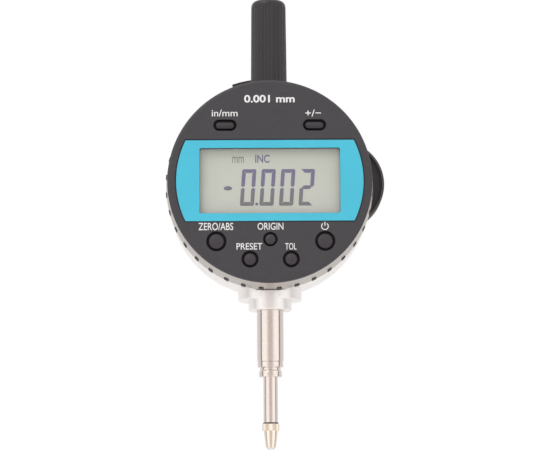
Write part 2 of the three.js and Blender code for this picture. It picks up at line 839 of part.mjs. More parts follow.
function returnSpring() {
  const wire = new THREE.Shape().absarc(0, 0, SPRING_WIRE_R, 0, 2 * Math.PI);
  const path = new Helix(SPRING_R - SPRING_WIRE_R, SPRING_Z[1] - SPRING_Z[0], SPRING_TURNS);
  const options = { steps: SPRING_TURNS * 8, extrudePath: path, curveSegments: 3 };
  const coil = piece("return_spring", new THREE.ExtrudeGeometry(wire, options), "steel");
  return placed(coil, SPRING_AT[0], SPRING_AT[1], SPRING_Z[0]);
}

// A leaf on the case side of the cell: a flat foot and a raised tongue.
function batteryContact(name, footY, tongueY) {
  const middle = HEAD_Z + CELL_AT[1];
  const z = [middle - LEAF_HALF_WIDTH, middle + LEAF_HALF_WIDTH];
  const riserDepths = [Math.min(footY, tongueY), Math.max(footY, tongueY) + LEAF_THICK];
  const foot = block(LEAF_FOOT_X, [footY, footY + LEAF_THICK], z);
  const riser = block(LEAF_RISER_X, riserDepths, z);
  const tongue = block(LEAF_TONGUE_X, [tongueY, tongueY + LEAF_THICK], z);
  return piece(name, join(foot, riser, tongue), "steel");
}

function dataPortSocket() {
  const bodyShape = sector(PORT_SOCKET_R, portAngles(PORT_SOCKET_INSET));
  const mouthShape = sector(PORT_MOUTH_R, portAngles(PORT_MOUTH_INSET));
  const body = plate(bodyShape, portDepths(PORT_SOCKET_INSET), 4);
  const mouth = plate(mouthShape, portDepths(PORT_MOUTH_INSET), 4);
  return placed(piece("data_port_socket", cut(body, mouth), "blackPlastic"), 0, 0, HEAD_Z);
}

function flexCable() {
  const z = [HEAD_Z - FLEX_HALF_HEIGHT, HEAD_Z + FLEX_HALF_HEIGHT];
  const run = block(FLEX_X, [BOARD_DEPTHS[1] + 0.5, FLEX_TAIL_DEPTHS[1]], z);
  const tail = block([FLEX_X[0], FLEX_TAIL_X], FLEX_TAIL_DEPTHS, z);
  return piece("flex_cable", join(run, tail), "amber");
}

function backGasket() {
  const ring = piece("back_gasket", revolve(ringProfile(GASKET_R, GASKET_DEPTHS), 40), "rubber");
  return placed(ring, 0, 0, HEAD_Z);
}

function backScrewProfile(margin) {
  const [front, back] = BACK_DEPTHS;
  const [thread, head] = BACK_SCREW_R.map((radius) => radius + margin);
  return [
    [0, BACK_SCREW_FRONT],
    [thread, BACK_SCREW_FRONT],
    [thread, front + 0.3],
    [head, back - 0.1],
    [head, back + margin],
    [0, back + margin],
  ];
}

function backCover() {
  const [front, back] = BACK_DEPTHS;
  const disc = revolve([
    [0, front],
    [BACK_R, front],
    [BACK_R, back - CASE_CHAMFER],
    [BACK_R - CASE_CHAMFER, back],
    [0, back],
  ]);
  const holes = backScrewAngles().map((angle) => {
    const [x, z] = polar(POST_AT, angle);
    return revolve(backScrewProfile(GAP), TINY).translate(x, 0, z);
  });
  return placed(piece("back_cover", cut(disc, ...holes), "casting"), 0, 0, HEAD_Z);
}

function crossSlots() {
  const along = [-CROSS_REACH, CROSS_REACH];
  const across = [-CROSS_HALF_WIDTH, CROSS_HALF_WIDTH];
  const depths = [BACK_DEPTHS[1] - CROSS_DEPTH, BACK_DEPTHS[1] + PAST];
  return [block(along, depths, across), block(across, depths, along)];
}

function backScrews() {
  return backScrewAngles().map((angle, index) => {
    const [x, z] = polar(POST_AT, angle);
    const screw = cut(revolve(backScrewProfile(0), TINY), ...crossSlots());
    return placed(piece(`back_screw_${index + 1}`, screw, "steel"), x, 0, z + HEAD_Z);
  });
}

function caseParts() {
  const group = new THREE.Group();
  group.add(caseShell(), stem(), lowerBush(), upperBush(), stopBuffer(), rotationStopPin());
  group.add(guideRail(), sensorBoard(), sensorBracket(), ...bracketScrews());
  group.add(springPost(), returnSpring(), flexCable(), dataPortSocket());
  group.add(batteryContact("battery_contact_front", -2, -1), batteryContact("battery_contact_back", 8.4, 7.2));
  group.add(backGasket(), backCover(), ...backScrews());
  return group;
}

// ---------------------------------------------------------------- spindle

function spindleRod() {
  const [bottom, top] = SPINDLE_Z;
  const socketTop = POINT_STUB_TOP + 0.3;
  const rod = revolveUp([
    [0, socketTop],
    [POINT_STUB_R + RUNNING, socketTop],
    [POINT_STUB_R + RUNNING, bottom],
    [SPINDLE_R, bottom],
    [SPINDLE_R, top - 0.5],
    [SPINDLE_R - 0.5, top],
    [0, top],
  ]);
  const drill = revolve(discProfile(PIN_R + RUNNING, [-4, 0.5]), TINY).rotateZ(-Math.PI / 2);
  return piece("spindle_rod", cut(rod, drill.translate(0, 0, PIN_Z)), "steel");
}

function stopCollar() {
  const profile = ringProfile([SPINDLE_R + RUNNING, BUFFER_R[1]], STOP_COLLAR_Z);
  return piece("stop_collar", revolveUp(profile, SMALL), "steel");
}

function antiRotationPin() {
  const pin = revolve(discProfile(PIN_R, [PIN_TIP_X, 0.2]), TINY).rotateZ(-Math.PI / 2);
  return placed(piece("anti_rotation_pin", pin, "steel"), 0, 0, PIN_Z);
}

function scaleCarrier() {
  const bar = block([-CARRIER_HALF_WIDTH, CARRIER_HALF_WIDTH], CARRIER_DEPTHS, CARRIER_Z);
  const saddleZ = [CARRIER_Z[1] - SADDLE_HEIGHT - 1, CARRIER_Z[1] - 1];
  const hoop = revolveUp(ringProfile([SPINDLE_R + RUNNING, SADDLE_R], saddleZ), 24);
  const saddle = common(hoop, block([-5, 5], [SADDLE_FRONT, 5], CARRIER_Z));
  const arm = block(SPRING_ARM_X, SPRING_ARM_DEPTHS, SPRING_ARM_Z);
  return piece("scale_carrier", join(bar, saddle, arm), "satin");
}

function encoderScale() {
  const z = [CARRIER_Z[0] + 0.5, CARRIER_Z[1] - 0.5];
  return piece("encoder_scale", block([-SCALE_HALF_WIDTH, SCALE_HALF_WIDTH], SCALE_DEPTHS, z), "glass");
}

function contactPoint() {
  const [low, high] = POINT_COLLAR_Z;
  const body = revolveUp([
    [0, POINT_TIP_Z],
    [POINT_TAPER_R[1], POINT_TIP_Z],
    [POINT_TAPER_R[0], low],
    [POINT_COLLAR_R, low],
    [POINT_COLLAR_R, high],
    [POINT_STUB_R, high],
    [POINT_STUB_R, POINT_STUB_TOP],
    [0, POINT_STUB_TOP],
  ]);
  const seat = new THREE.SphereGeometry(BALL_R + RUNNING, SMALL, 10).translate(0, 0, BALL_Z);
  return piece("contact_point", cut(body, seat), "contact");
}

function contactBall() {
  const ball = piece("contact_ball", new THREE.SphereGeometry(BALL_R, SMALL, 10), "steel");
  return placed(ball, 0, 0, BALL_Z);
}

function spindleParts() {
  const group = new THREE.Group();
  group.add(spindleRod(), stopCollar(), antiRotationPin(), scaleCarrier(), encoderScale());
  group.add(contactPoint(), contactBall());
  return group;
}

// ---------------------------------------------------------------- battery tray

function trayOutline() {
  const angle = Math.asin(TRAY_HALF_HEIGHT / TRAY_HEAD_R);
  const inner = TRAY_INNER_X - CELL_AT[0];
  const shape = new THREE.Shape();
  shape.moveTo(inner, -TRAY_HALF_HEIGHT);
  shape.absarc(0, 0, TRAY_HEAD_R, -angle, angle, false);
  shape.lineTo(inner, TRAY_HALF_HEIGHT);
  return shape;
}

function batteryTray() {
  const pocketDepths = [CELL_DEPTHS[0] - GAP, TRAY_DEPTHS[1] + PAST];
  const pocket = revolve(discProfile(CELL_R + 0.15, pocketDepths), 32);
  const hole = revolve(discProfile(TRAY_WINDOW_R, [TRAY_DEPTHS[0] - PAST, CELL_DEPTHS[0] + PAST]), 24);
  const recessDepths = [TRAY_DEPTHS[0] - PAST, TRAY_DEPTHS[0] + TRAY_RECESS];
  const lipDisc = revolve(discProfile(TRAY_HEAD_R - TRAY_LIP, recessDepths), 60);
  const outside = block([CASE_R[1] - CELL_AT[0] - 1, 20], [-5, 5], [-20, 20]);
  const made = cut(plate(trayOutline(), TRAY_DEPTHS, 10), pocket, hole, common(lipDisc, outside));
  return piece("battery_tray", made, "blackPlastic");
}

function coinCell() {
  const [front, back] = CELL_DEPTHS;
  const cell = revolve([
    [0, front],
    [CELL_STEP_R[0], front],
    [CELL_STEP_R[1], front + CELL_STEP[0]],
    [CELL_R, front + CELL_STEP[1]],
    [CELL_R, back],
    [0, back],
  ], 32);
  return piece("coin_cell", cell, "cell");
}

function trayParts() {
  const group = new THREE.Group();
  group.position.set(CELL_AT[0], 0, HEAD_Z + CELL_AT[1]);
  group.add(batteryTray(), coinCell());
  return group;
}

// ---------------------------------------------------------------- dust cap and port cover

// A rounded outer corner: its points run from the side up to the top face.
function cornerPoints(radius, top, corner, steps) {
  return Array.from({ length: steps + 1 }, (_, step) => {
    const [out, up] = polar(corner, (step * Math.PI) / 2 / steps);
    return [radius - corner + out, top - corner + up];
  });
}

function dustCap() {
  const [foot, top] = CAP_Z;
  const roof = top - CAP_ROOF;
  const profile = [
    [0, roof],
    [CAP_BORE_R, roof],
    [CAP_BORE_R, foot],
    [CAP_FOOT_R, foot],
    ...cornerPoints(CAP_HEAD_R, top, CAP_CORNER, 4),
    [NUB_R, top],
    ...cornerPoints(NUB_R, NUB_TOP, NUB_CORNER, 2),
    [0, NUB_TOP],
  ];
  return piece("dust_cap", revolveUp(profile, 32), "rubber");
}

function dataPortCover() {
  const flapShape = sector([PORT_HOUSING_R + GAP, PORT_COVER_R], portAngles(GAP));
  const plugR = [PORT_SOCKET_R[1] + 0.3, (PORT_HOUSING_R + GAP + PORT_COVER_R) / 2];
  const plugInset = PORT_WALL + 2 * GAP;
  const flap = plate(flapShape, portDepths(GAP), 4);
  const plug = plate(sector(plugR, portAngles(plugInset)), portDepths(plugInset), 4);
  return placed(piece("data_port_cover", join(flap, plug), "rubber"), 0, 0, HEAD_Z);
}

// ---------------------------------------------------------------- whole indicator

const indicator = new THREE.Group();
indicator.add(caseParts(), displayHead(), buttons(), spindleParts(), trayParts());
indicator.add(dustCap(), dataPortCover());

export default indicator;
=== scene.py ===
"""Looks of the electronic indicator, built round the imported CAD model.

Lengths are in millimetres until a mesh is made, and the frame is the CAD's: X right, Y back, Z up.
"""

import json
import math

import bmesh
import bpy
from mathutils import Matrix, Vector
from mathutils.geometry import tessellate_polygon


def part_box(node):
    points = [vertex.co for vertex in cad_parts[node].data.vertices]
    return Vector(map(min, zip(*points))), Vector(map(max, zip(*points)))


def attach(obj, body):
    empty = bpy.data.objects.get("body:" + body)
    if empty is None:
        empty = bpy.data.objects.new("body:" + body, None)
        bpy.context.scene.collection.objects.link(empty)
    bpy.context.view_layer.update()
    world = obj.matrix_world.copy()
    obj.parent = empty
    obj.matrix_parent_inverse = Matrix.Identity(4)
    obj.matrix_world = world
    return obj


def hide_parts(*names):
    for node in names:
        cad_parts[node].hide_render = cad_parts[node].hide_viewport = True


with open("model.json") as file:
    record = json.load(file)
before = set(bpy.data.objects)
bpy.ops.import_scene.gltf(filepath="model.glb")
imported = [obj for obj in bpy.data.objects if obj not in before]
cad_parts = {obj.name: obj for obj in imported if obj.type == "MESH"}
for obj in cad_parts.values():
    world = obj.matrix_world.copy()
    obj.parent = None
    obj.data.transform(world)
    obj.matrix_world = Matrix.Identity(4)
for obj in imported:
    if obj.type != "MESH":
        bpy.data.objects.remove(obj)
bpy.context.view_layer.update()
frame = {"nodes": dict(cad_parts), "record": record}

MM = 0.001
SLOT_OF = {row["node"]: row["material_slot"] for row in frame["record"]["subparts"]}
MATERIALS = {}

# ---------------------------------------------------------------- dimensions not in the CAD's boxes

FINE = 160  # points round a large circle
ROUND = 96  # points round a small one
EDGE_STEPS = 4  # strips in a rounded edge
SUPPORT = 0.03  # width of the narrow strip that keeps a flat flat beside a rounded edge
SHARP_ANGLE = math.radians(35)

FACE_EDGE = 0.8
POCKET_DEPTH = 0.4
POCKET_GAP = 0.35  # between the coloured panel and the pocket that it lies in
PANEL_CORNER = 0.35
WINDOW = (41.5, 19.5, 0.6)
SPIGOT_R = (28.0, 29.2)
FACE_PLATE_BACK = -16.2
HOLE_LIP = 0.18

BUTTON_BODIES = {
    "button_units": "key_units",
    "button_sign": "key_sign",
    "button_zero": "key_zero",
    "button_power": "key_power",
    "button_origin": "key_origin",
    "button_preset": "key_preset",
    "button_tolerance": "key_tolerance",
}
BUTTON_GAP = dict.fromkeys(BUTTON_BODIES, 0.66) | {"button_origin": 0.52}
BUTTON_EDGE = 0.45
BUTTON_DOME = 0.25  # how far the rim of a cap lies behind its middle
DOME_STEPS = 6
DOME_REACH = 0.97  # share of the way from the rim to the middle that the dome is built for
BUTTON_FLANGE = 0.7
FLANGE_DEPTHS = (-16.1, -15.5)

# Print on the face and marks on the display: words, box of (left, right, bottom, top) from the
# head's centre, boldness and finish.
PRINT_THICK = 0.012
LCD_INK_THICK = 0.02
LABELS = {
    "print_resolution": ("0.001 mm", (-7.5, 7.5, 23.4, 25.7), 0.025, "print_white"),
    "print_units": ("in/mm", (-17.1, -9.45, 19.25, 21.3), 0.006, "print_white"),
    "print_sign": ("+/\u2212", (10.6, 15.25, 19.1, 21.2), 0.006, "print_white"),
    "print_zero": ("ZERO/ABS", (-21.05, -10.85, -14.8, -12.6), 0.006, "print_white"),
    "print_origin": ("ORIGIN", (-3.7, 3.9, -14.75, -12.65), 0.006, "print_white"),
    "print_preset": ("PRESET", (-9.9, -2.35, -20.6, -18.65), 0.006, "print_white"),
    "print_tolerance": ("TOL", (4.4, 7.7, -20.65, -18.7), 0.006, "print_white"),
}
LCD_WORDS = {
    "lcd_millimetres": ("mm", (-11.05, -7.65, 5.6, 7.5), 0.0, "lcd_grey"),
    "lcd_incremental": ("INC", (-4.3, -0.05, 5.6, 8.05), 0.02, "lcd_ink"),
}
POWER_MARK_AT = (16.1, -13.75)
POWER_MARK_R = (0.85, 1.12)
POWER_MARK_BAR = 1.25
POWER_MARK_ANGLES = (math.radians(125), math.radians(415))

DIGIT_FIRST_X = -8.93
DIGIT_BASE_Z = -7.25
DIGIT_PITCH = 5.78
DIGIT_WIDTH = 4.2
DIGIT_HEIGHT = 10.95
DIGIT_STROKE = 1.13
DIGIT_GAP = 0.1
DIGIT_SLANT = 0.073
POINT_AT = (-3.89, -6.75)
POINT_R = 0.45
MINUS_AT = (-12.4, -2.0)
MINUS_SIZE = (2.5, 1.3)

BEZEL_WALL = 1.65
BEZEL_FRONT_R = 30.15
BEZEL_WIDE_FROM = -6.6
BEZEL_EDGE = 0.2
PAD_COUNT = 36
PAD_START = -math.pi / 2 + math.pi / PAD_COUNT
PAD_WIDTH = 1.4
PAD_HEIGHT = 1.1
NOTCH_MARGIN = 0.1
GRIP_BAND_R = (29.5, 30.5)
GRIP_BAND_THICK = 0.3

CASE_R = (29.1, 31.0)
CASE_FRONT = -5.2
CASE_WALL = 1.6
CASE_OPENING_R = 10.3
BOSS_R = 9.6
BOSS_AT_DEPTH = 3.3
BOSS_BOTTOM = 3.3
BOSS_HOLLOW_R = 31.27
BOSS_TOP = 8.2
COLLAR_R = 6.45
TOP_BOSS_R = 5.0
TOP_BOSS_Z = (62.0, 68.0)
FLANGE_RELIEF_R = 4.5
POST_AT = 26.0
POST_R = 2.5
POST_BACK = 13.3
BACK_GROOVE_R = (21.6, 22.6)
SCREW_SHANK_R = 1
SCREW_HEAD_HEIGHT = 1.15
CROSS_SLOT = (2.6, 0.44)  # the length and the width of one slot of a screw's cross
CROSS_DEPTH = 0.6
PORT_ANGLES = (math.radians(88), math.radians(108.4))
PORT_DEPTHS = (5.8, 11.5)
PORT_HOUSING_R = 35.5
PORT_COVER_R = 35.95
PORT_WALL = 1.1
PORT_SOCKET_TOP_R = 33.5
PORT_SKIRT_R = 31.8
PORT_SKIRT_THICK = 0.4
PORT_PLUG_GAP = 0.2

STEM_STEP_Z = -15.2
STEM_STEP_R = 3.85
STEM_GROOVE = (0.3, 0.25)  # its height and its depth
STEM_BORE_R = 2.75
BUSH_NECK_R = 3.1
BUSH_NECK_Z = (-17.9, -17.15)
BUSH_NUT_HEIGHT = 1.7
SLEEVE_R = 4.0
POINT_STUB_R = 1.2
POINT_TAPER_R = (2.1, 1.52)
POINT_COLLAR_HEIGHT = 2.1
POINT_GAP = 0.35  # between the end of the spindle and the collar, filled by a dark ring of painted shade
POINT_SHADE_RING_R = 2.3
KNURL_RIDGES = 34
KNURL_DEPTH = 0.13

TRAY_LIP = 0.75
TRAY_RECESS = 1.2
TRAY_WINDOW_R = 7.0

CAP_BORE_R = 4.05
CAP_HEAD_R = 5.27
CAP_ROOF = 2.0
CAP_CORNER = 1.9
CAP_NUB_R = 1.9
CAP_NUB_HEIGHT = 0.8
CAP_RIBS = 28
CAP_RIB_DEPTH = 0.2
CAP_RIB_FADE = 1.5

# The camera, and the light: radiance by angle from the camera's side round to behind the object.
CAMERA_AIM = (1.637, 1.539, 26.386)
CAMERA_ANGLES = (-0.62, -8.5, -0.36)
CAMERA_DISTANCE = 600
CAMERA_LENS = 129.3
STUDIO_RAMP = [
    (0, (0.72, 0.63, 0.59)),
    (14, (0.78, 0.7, 0.66)),
    (24, (0.95, 0.9, 0.88)),
    (36, (1.25, 1.22, 1.19)),
    (72, (1.25, 1.22, 1.19)),
    (79, (0.95, 0.92, 0.9)),
    (83, (0.2, 0.17, 0.16)),
    (89, (0.2, 0.17, 0.16)),
    (94, (0.8, 0.77, 0.76)),
    (180, (0.95, 0.94, 0.93)),
]
STUDIO_ABOVE = (1.12, 1.11, 1.1)
KEY_AT = (-500, -700, 900)
KEY_POWER = 3.0
FLOOR_Z = -100
FLOOR_REACH = 500
FLOOR_THICK = 5

# ---------------------------------------------------------------- places read from the CAD


class NodeBox:
    """A CAD node's box at rest, in millimetres."""

    def __init__(self, name):
        low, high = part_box(name)
        self.low = low / MM
        self.high = high / MM
        self.centre = (self.low + self.high) / 2
        self.size = self.high - self.low


HEAD = NodeBox("bezel_ring").centre
HEAD_Z = HEAD.z

# ---------------------------------------------------------------- outlines in X and Z


def polar(radius, angle, x=0.0, z=0.0):
    return (x + radius * math.cos(angle), z + radius * math.sin(angle))


def arc(radius, start, end, count, x=0.0, z=0.0):
    step = (end - start) / (count - 1)
    return [polar(radius, start + step * index, x, z) for index in range(count)]


def circle(radius, x=0.0, z=HEAD_Z, count=ROUND):
    def at(grow=0.0):
        step = 2 * math.pi / count
        return [polar(radius + grow, step * index, x, z) for index in range(count)]

    return at


def rounded_box(width, height, corner, x=0.0, z=HEAD_Z, count=8):
    def at(grow=0.0):
        reach = width / 2 - corner
        rise = height / 2 - corner
        corners = [(reach, rise), (-reach, rise), (-reach, -rise), (reach, -rise)]
        points = []
        for index, (a, b) in enumerate(corners):
            start = index * math.pi / 2
            points += arc(corner + grow, start, start + math.pi / 2, count, x + a, z + b)
        return points

    return at


def stadium(width, height, x, z, count=28):
    """A slot with round ends, or a circle when width and height are the same."""

    def at(grow=0.0):
        radius = height / 2 + grow
        reach = (width - height) / 2
        right = arc(radius, -math.pi / 2, math.pi / 2, count, x + reach, z)
        left = arc(radius, math.pi / 2, 1.5 * math.pi, count, x - reach, z)
        if reach == 0:
            return right[:-1] + left[:-1]
        return right + left

    return at


def panel_outline(radius, half_height, corner):
    """A disc cut off flat above and below, with slightly rounded corners."""

    def at(grow=0.0):
        bend = corner + grow
        reach = radius + grow - bend
        rise = half_height + grow - bend
        side = math.asin(rise / reach)
        x = reach * math.cos(side)
        upper = arc(bend, side, math.pi / 2, 6, x, HEAD_Z + rise)
        middle = arc(radius + grow, -side, side, 40, 0, HEAD_Z)
        lower = arc(bend, -math.pi / 2, -side, 6, x, HEAD_Z - rise)
        right = lower[:-1] + middle + upper[1:]
        left = [(-a, 2 * HEAD_Z - b) for a, b in right]
        return right + left

    return at


def sector(inner, outer, start, end, count=12):
    def at(grow=0.0):
        turn = grow / outer
        far = arc(outer + grow, start - turn, end + turn, count, 0, HEAD_Z)
        near = arc(inner - grow, end + turn, start - turn, count, 0, HEAD_Z)
        return far + near

    return at


def chord_disc(radius, x, z, cut_x, count=48):
    """The part of a disc that lies to the right of a straight cut."""

    def at(grow=0.0):
        reach = radius + grow
        half = math.acos((cut_x - grow - x) / reach)
        return arc(reach, -half, half, count, x, z)

    return at


# ---------------------------------------------------------------- meshes


def edge_arc(edge, depth, way):
    """A rounded edge as rows of (distance drawn in, depth), from the flat face to the wall."""
    rows = [(edge + SUPPORT, depth)]
    for step in range(EDGE_STEPS + 1):
        angle = math.pi / 2 * step / EDGE_STEPS
        rows.append((edge * (1 - math.sin(angle)), depth + way * edge * (1 - math.cos(angle))))
    rows.append((0.0, depth + way * (edge + SUPPORT)))
    return rows


def wall_rows(front, back, front_edge, back_edge):
    rows = edge_arc(front_edge, front, 1) if front_edge else [(0.0, front)]
    rows += edge_arc(back_edge, back, -1)[::-1] if back_edge else [(0.0, back)]
    return rows


def rounded_profile(points):
    """Rounds the corners of a profile. A point is (radius, height), or has a third number, its edge."""
    made = []
    for index, point in enumerate(points):
        edge = point[2] if len(point) > 2 else 0
        here = Vector(point[:2])
        if not edge:
            made.append(here)
            continue
        before = (Vector(points[index - 1][:2]) - here).normalized()
        after = (Vector(points[(index + 1) % len(points)][:2]) - here).normalized()
        start = here + before * edge
        end = here + after * edge
        made.append(start + before * SUPPORT)
        steps = EDGE_STEPS if edge < 0.6 else 3 * EDGE_STEPS
        for step in range(steps + 1):
            t = step / steps
            made.append(start * (1 - t) ** 2 + here * 2 * t * (1 - t) + end * t**2)
        made.append(end + after * SUPPORT)
    return [(point.x, point.y) for point in made]


class Shell:
    """Gathers points and faces in millimetres for one mesh."""

    def __init__(self):
        self.points = []
        self.faces = []
        self.flat = set()

    def loop(self, points):
        start = len(self.points)
        self.points.extend(points)
        return list(range(start, len(self.points)))

    def loop_at(self, outline_points, depth):
        return self.loop([(x, depth, z) for x, z in outline_points])

    def tube(self, loops, closed=False):
        pairs = list(zip(loops, loops[1:]))
        if closed:
            pairs.append((loops[-1], loops[0]))
        for near, far in pairs:
            for index in range(len(near)):
                after = (index + 1) % len(near)
                self.faces.append((near[index], near[after], far[after], far[index]))

    def cap(self, outer, *holes):
        loops = [outer, *holes]
        order = [index for loop in loops for index in loop]
        for face in tessellate_polygon([[Vector(self.points[i]) for i in loop] for loop in loops]):
            self.flat.add(len(self.faces))
            self.faces.append(tuple(order[i] for i in face))

    def plate(self, outline, front, back, edge=0.1, holes=(), back_edge=None):
        """A plate between two depths, with rounded edges, and holes that have the same edges."""
        back_edge = edge if back_edge is None else back_edge
        fronts = []
        backs = []
        for shape, side in [(outline, -1)] + [(hole, 1) for hole in holes]:
            rows = wall_rows(front, back, edge, back_edge)
            loops = [self.loop_at(shape(side * inset), depth) for inset, depth in rows]
            self.tube(loops)
            fronts.append(loops[0])
            backs.append(loops[-1])
        self.cap(*fronts)
        self.cap(*backs)

    def turn(self, profile, about, x=0.0, z=HEAD_Z, closed=False, count=ROUND, ripple=None):
        """A solid of revolution from (radius, height) rows, about Z at x, or about Y at x and z."""
        loops = []
        for radius, height in profile:
            ring = []
            for index in range(count):
                angle = 2 * math.pi * index / count
                reach = ripple(angle, radius, height) if ripple else radius
                a, b = reach * math.cos(angle), reach * math.sin(angle)
                ring.append((x + a, b, height) if about == "Z" else (x + a, height, z + b))
            loops.append(self.loop(ring))
        self.tube(loops, closed)


def mesh_of(shell, name):
    mesh = bpy.data.meshes.new(name)
    mesh.from_pydata([[c * MM for c in point] for point in shell.points], [], shell.faces)
    for polygon in mesh.polygons:
        polygon.use_smooth = polygon.index not in shell.flat
    work = bmesh.new()
    work.from_mesh(mesh)
    bmesh.ops.remove_doubles(work, verts=work.verts, dist=1e-7)
    bmesh.ops.recalc_face_normals(work, faces=work.faces)
    work.to_mesh(mesh)
    work.free()
    return mesh


def object_of(shell, name):
    made = bpy.data.objects.new(name, mesh_of(shell, name))
    bpy.context.scene.collection.objects.link(made)
    return made


def carve(target, tool, operation):
    """Cuts or joins one closed mesh with another, and keeps only the result."""
    modifier = target.modifiers.new("carve", "BOOLEAN")
    modifier.operation = operation
    modifier.solver = "EXACT"
    modifier.object = tool
    graph = bpy.context.evaluated_depsgraph_get()
    result = bpy.data.meshes.new_from_object(target.evaluated_get(graph))
    target.modifiers.clear()
    target.data = result
    bpy.data.objects.remove(tool)


def settle(made, name, slot, body, replaced=(), finish=None):
    """Gives an object its finish, or its slot's finish when none is named, and the body that it rides on.
    """
    made.name = name
    made.data.name = name
    made.data.materials.clear()
    made.data.materials.append(MATERIALS[finish or slot])
    made.data.set_sharp_from_angle(angle=SHARP_ANGLE)
    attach(made, body)
    if replaced:
        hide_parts(*replaced)
    return made


def stand_for(node, made, body, finish=None):
    """Puts a detailed piece in the place of one CAD node."""
    name = node + "_look"
    if isinstance(made, Shell):
        made = object_of(made, name)
    return settle(made, name, SLOT_OF[node], body, [node], finish)


# ---------------------------------------------------------------- finishes


def linear(red, green, blue):
    """A colour given as it looks on a screen, from 0 to 255, as the shader wants it."""

    def one(value):
        share = value / 255
        return share / 12.92 if share <= 0.04045 else ((share + 0.055) / 1.055) ** 2.4

    return (one(red), one(green), one(blue), 1.0)


def fill_ramp(elements, stops):
    elements[0].position, elements[0].color = stops[0]
    elements[1].position, elements[1].color = stops[-1]
    for position, colour in stops[1:-1]:
        elements.new(position).color = colour


class Finish:
    """A node-based material. Its textures are laid out in the object's own coordinates, in metres."""

    def __init__(self, name, metallic=0.0, specular=0.5, **constants):
        self.material = bpy.data.materials.new(name)
        self.material.use_nodes = True
        self.nodes = self.material.node_tree.nodes
        self.links = self.material.node_tree.links
        self.shader = self.nodes["Principled BSDF"]
        self.shader.inputs["Metallic"].default_value = metallic
        self.shader.inputs["Specular IOR Level"].default_value = specular
        for socket, value in constants.items():
            self.shader.inputs[socket.replace("_", " ")].default_value = value
        self.place = self.nodes.new("ShaderNodeTexCoord").outputs["Object"]
        MATERIALS[name] = self.material

    def noise(self, size_mm, detail=3.0, stretch=(1, 1, 1), offset=0.0):
        """Noise whose blotches are about size_mm across, or longer where stretch is more than 1."""
        mapping = self.nodes.new("ShaderNodeMapping")
        mapping.inputs["Scale"].default_value = [1 / (size_mm * MM * part) for part in stretch]
        mapping.inputs["Location"].default_value = (offset, offset, offset)
        self.links.new(self.place, mapping.inputs["Vector"])
        texture = self.nodes.new("ShaderNodeTexNoise")
        texture.inputs["Scale"].default_value = 1.0
        texture.inputs["Detail"].default_value = detail
        self.links.new(mapping.outputs["Vector"], texture.inputs["Vector"])
        return texture.outputs["Fac"]

    def ranged(self, factor, low, high, start=0.3, end=0.7):
        node = self.nodes.new("ShaderNodeMapRange")
        self.links.new(factor, node.inputs["Value"])
        for socket, value in (("From Min", start), ("From Max", end), ("To Min", low), ("To Max", high)):
            node.inputs[socket].default_value = value
        return node.outputs["Result"]

    def ramp(self, factor, stops):
        node = self.nodes.new("ShaderNodeValToRGB")
        fill_ramp(node.color_ramp.elements, stops)
        self.links.new(factor, node.inputs["Fac"])
        return node.outputs["Color"]

    def multiplied(self, first, second):
        node = self.nodes.new("ShaderNodeMix")
        node.data_type = "RGBA"
        node.blend_type = "MULTIPLY"
        node.inputs["Factor"].default_value = 1.0
        colours = [socket for socket in node.inputs if socket.type == "RGBA"]
        self.links.new(first, colours[0])
        self.links.new(second, colours[1])
        return next(socket for socket in node.outputs if socket.type == "RGBA")

    def colour(self, output):
        self.links.new(output, self.shader.inputs["Base Color"])

    def roughness(self, factor, low, high):
        self.links.new(self.ranged(factor, low, high), self.shader.inputs["Roughness"])

    def relief(self, factor, height_mm, strength=1.0):
        node = self.nodes.new("ShaderNodeBump")
        node.inputs["Strength"].default_value = strength
        node.inputs["Distance"].default_value = height_mm * MM
        self.links.new(factor, node.inputs["Height"])
        below = self.shader.inputs["Normal"]
        if below.is_linked:
            self.links.new(below.links[0].from_socket, node.inputs["Normal"])
        self.links.new(node.outputs["Normal"], below)

    def painted_shade_behind(self, depth_mm, over_mm, share):
        """Darkens the colour to a share of itself behind a depth: painted shade, where shadow gathers in
        recesses and gaps.
        """
        start, end = depth_mm * MM, (depth_mm + over_mm) * MM
        fall = self.ranged(self.axis(1), 1.0, share, start, end)
        base = self.shader.inputs["Base Color"].links[0].from_socket
        shade = self.ramp(fall, [(0.0, (0, 0, 0, 1)), (1.0, (1, 1, 1, 1))])
        self.colour(self.multiplied(base, shade))

    def axis(self, index):
        node = self.nodes.new("ShaderNodeSeparateXYZ")
        self.links.new(self.place, node.inputs["Vector"])
        return node.outputs[index]


def grained(name, dark, light, rough, size_mm, relief_mm, stretch=(1, 1, 1), drift=0.04, **constants):
    """A surface with a fine grain in its colour, gloss and relief, and a slow drift of shade."""
    finish = Finish(name, **constants)
    grain = finish.noise(size_mm, 3.0, stretch)
    slow = finish.noise(9.0, 2.0, offset=3.7)
    fine = finish.ramp(grain, [(0.3, dark), (0.7, light)])
    shade = finish.ramp(slow, [(0.3, (1 - drift, 1 - drift, 1 - drift, 1)), (0.7, (1, 1, 1, 1))])
    finish.colour(finish.multiplied(fine, shade))
    finish.roughness(grain, *rough)
    finish.relief(grain, relief_mm)
    return finish


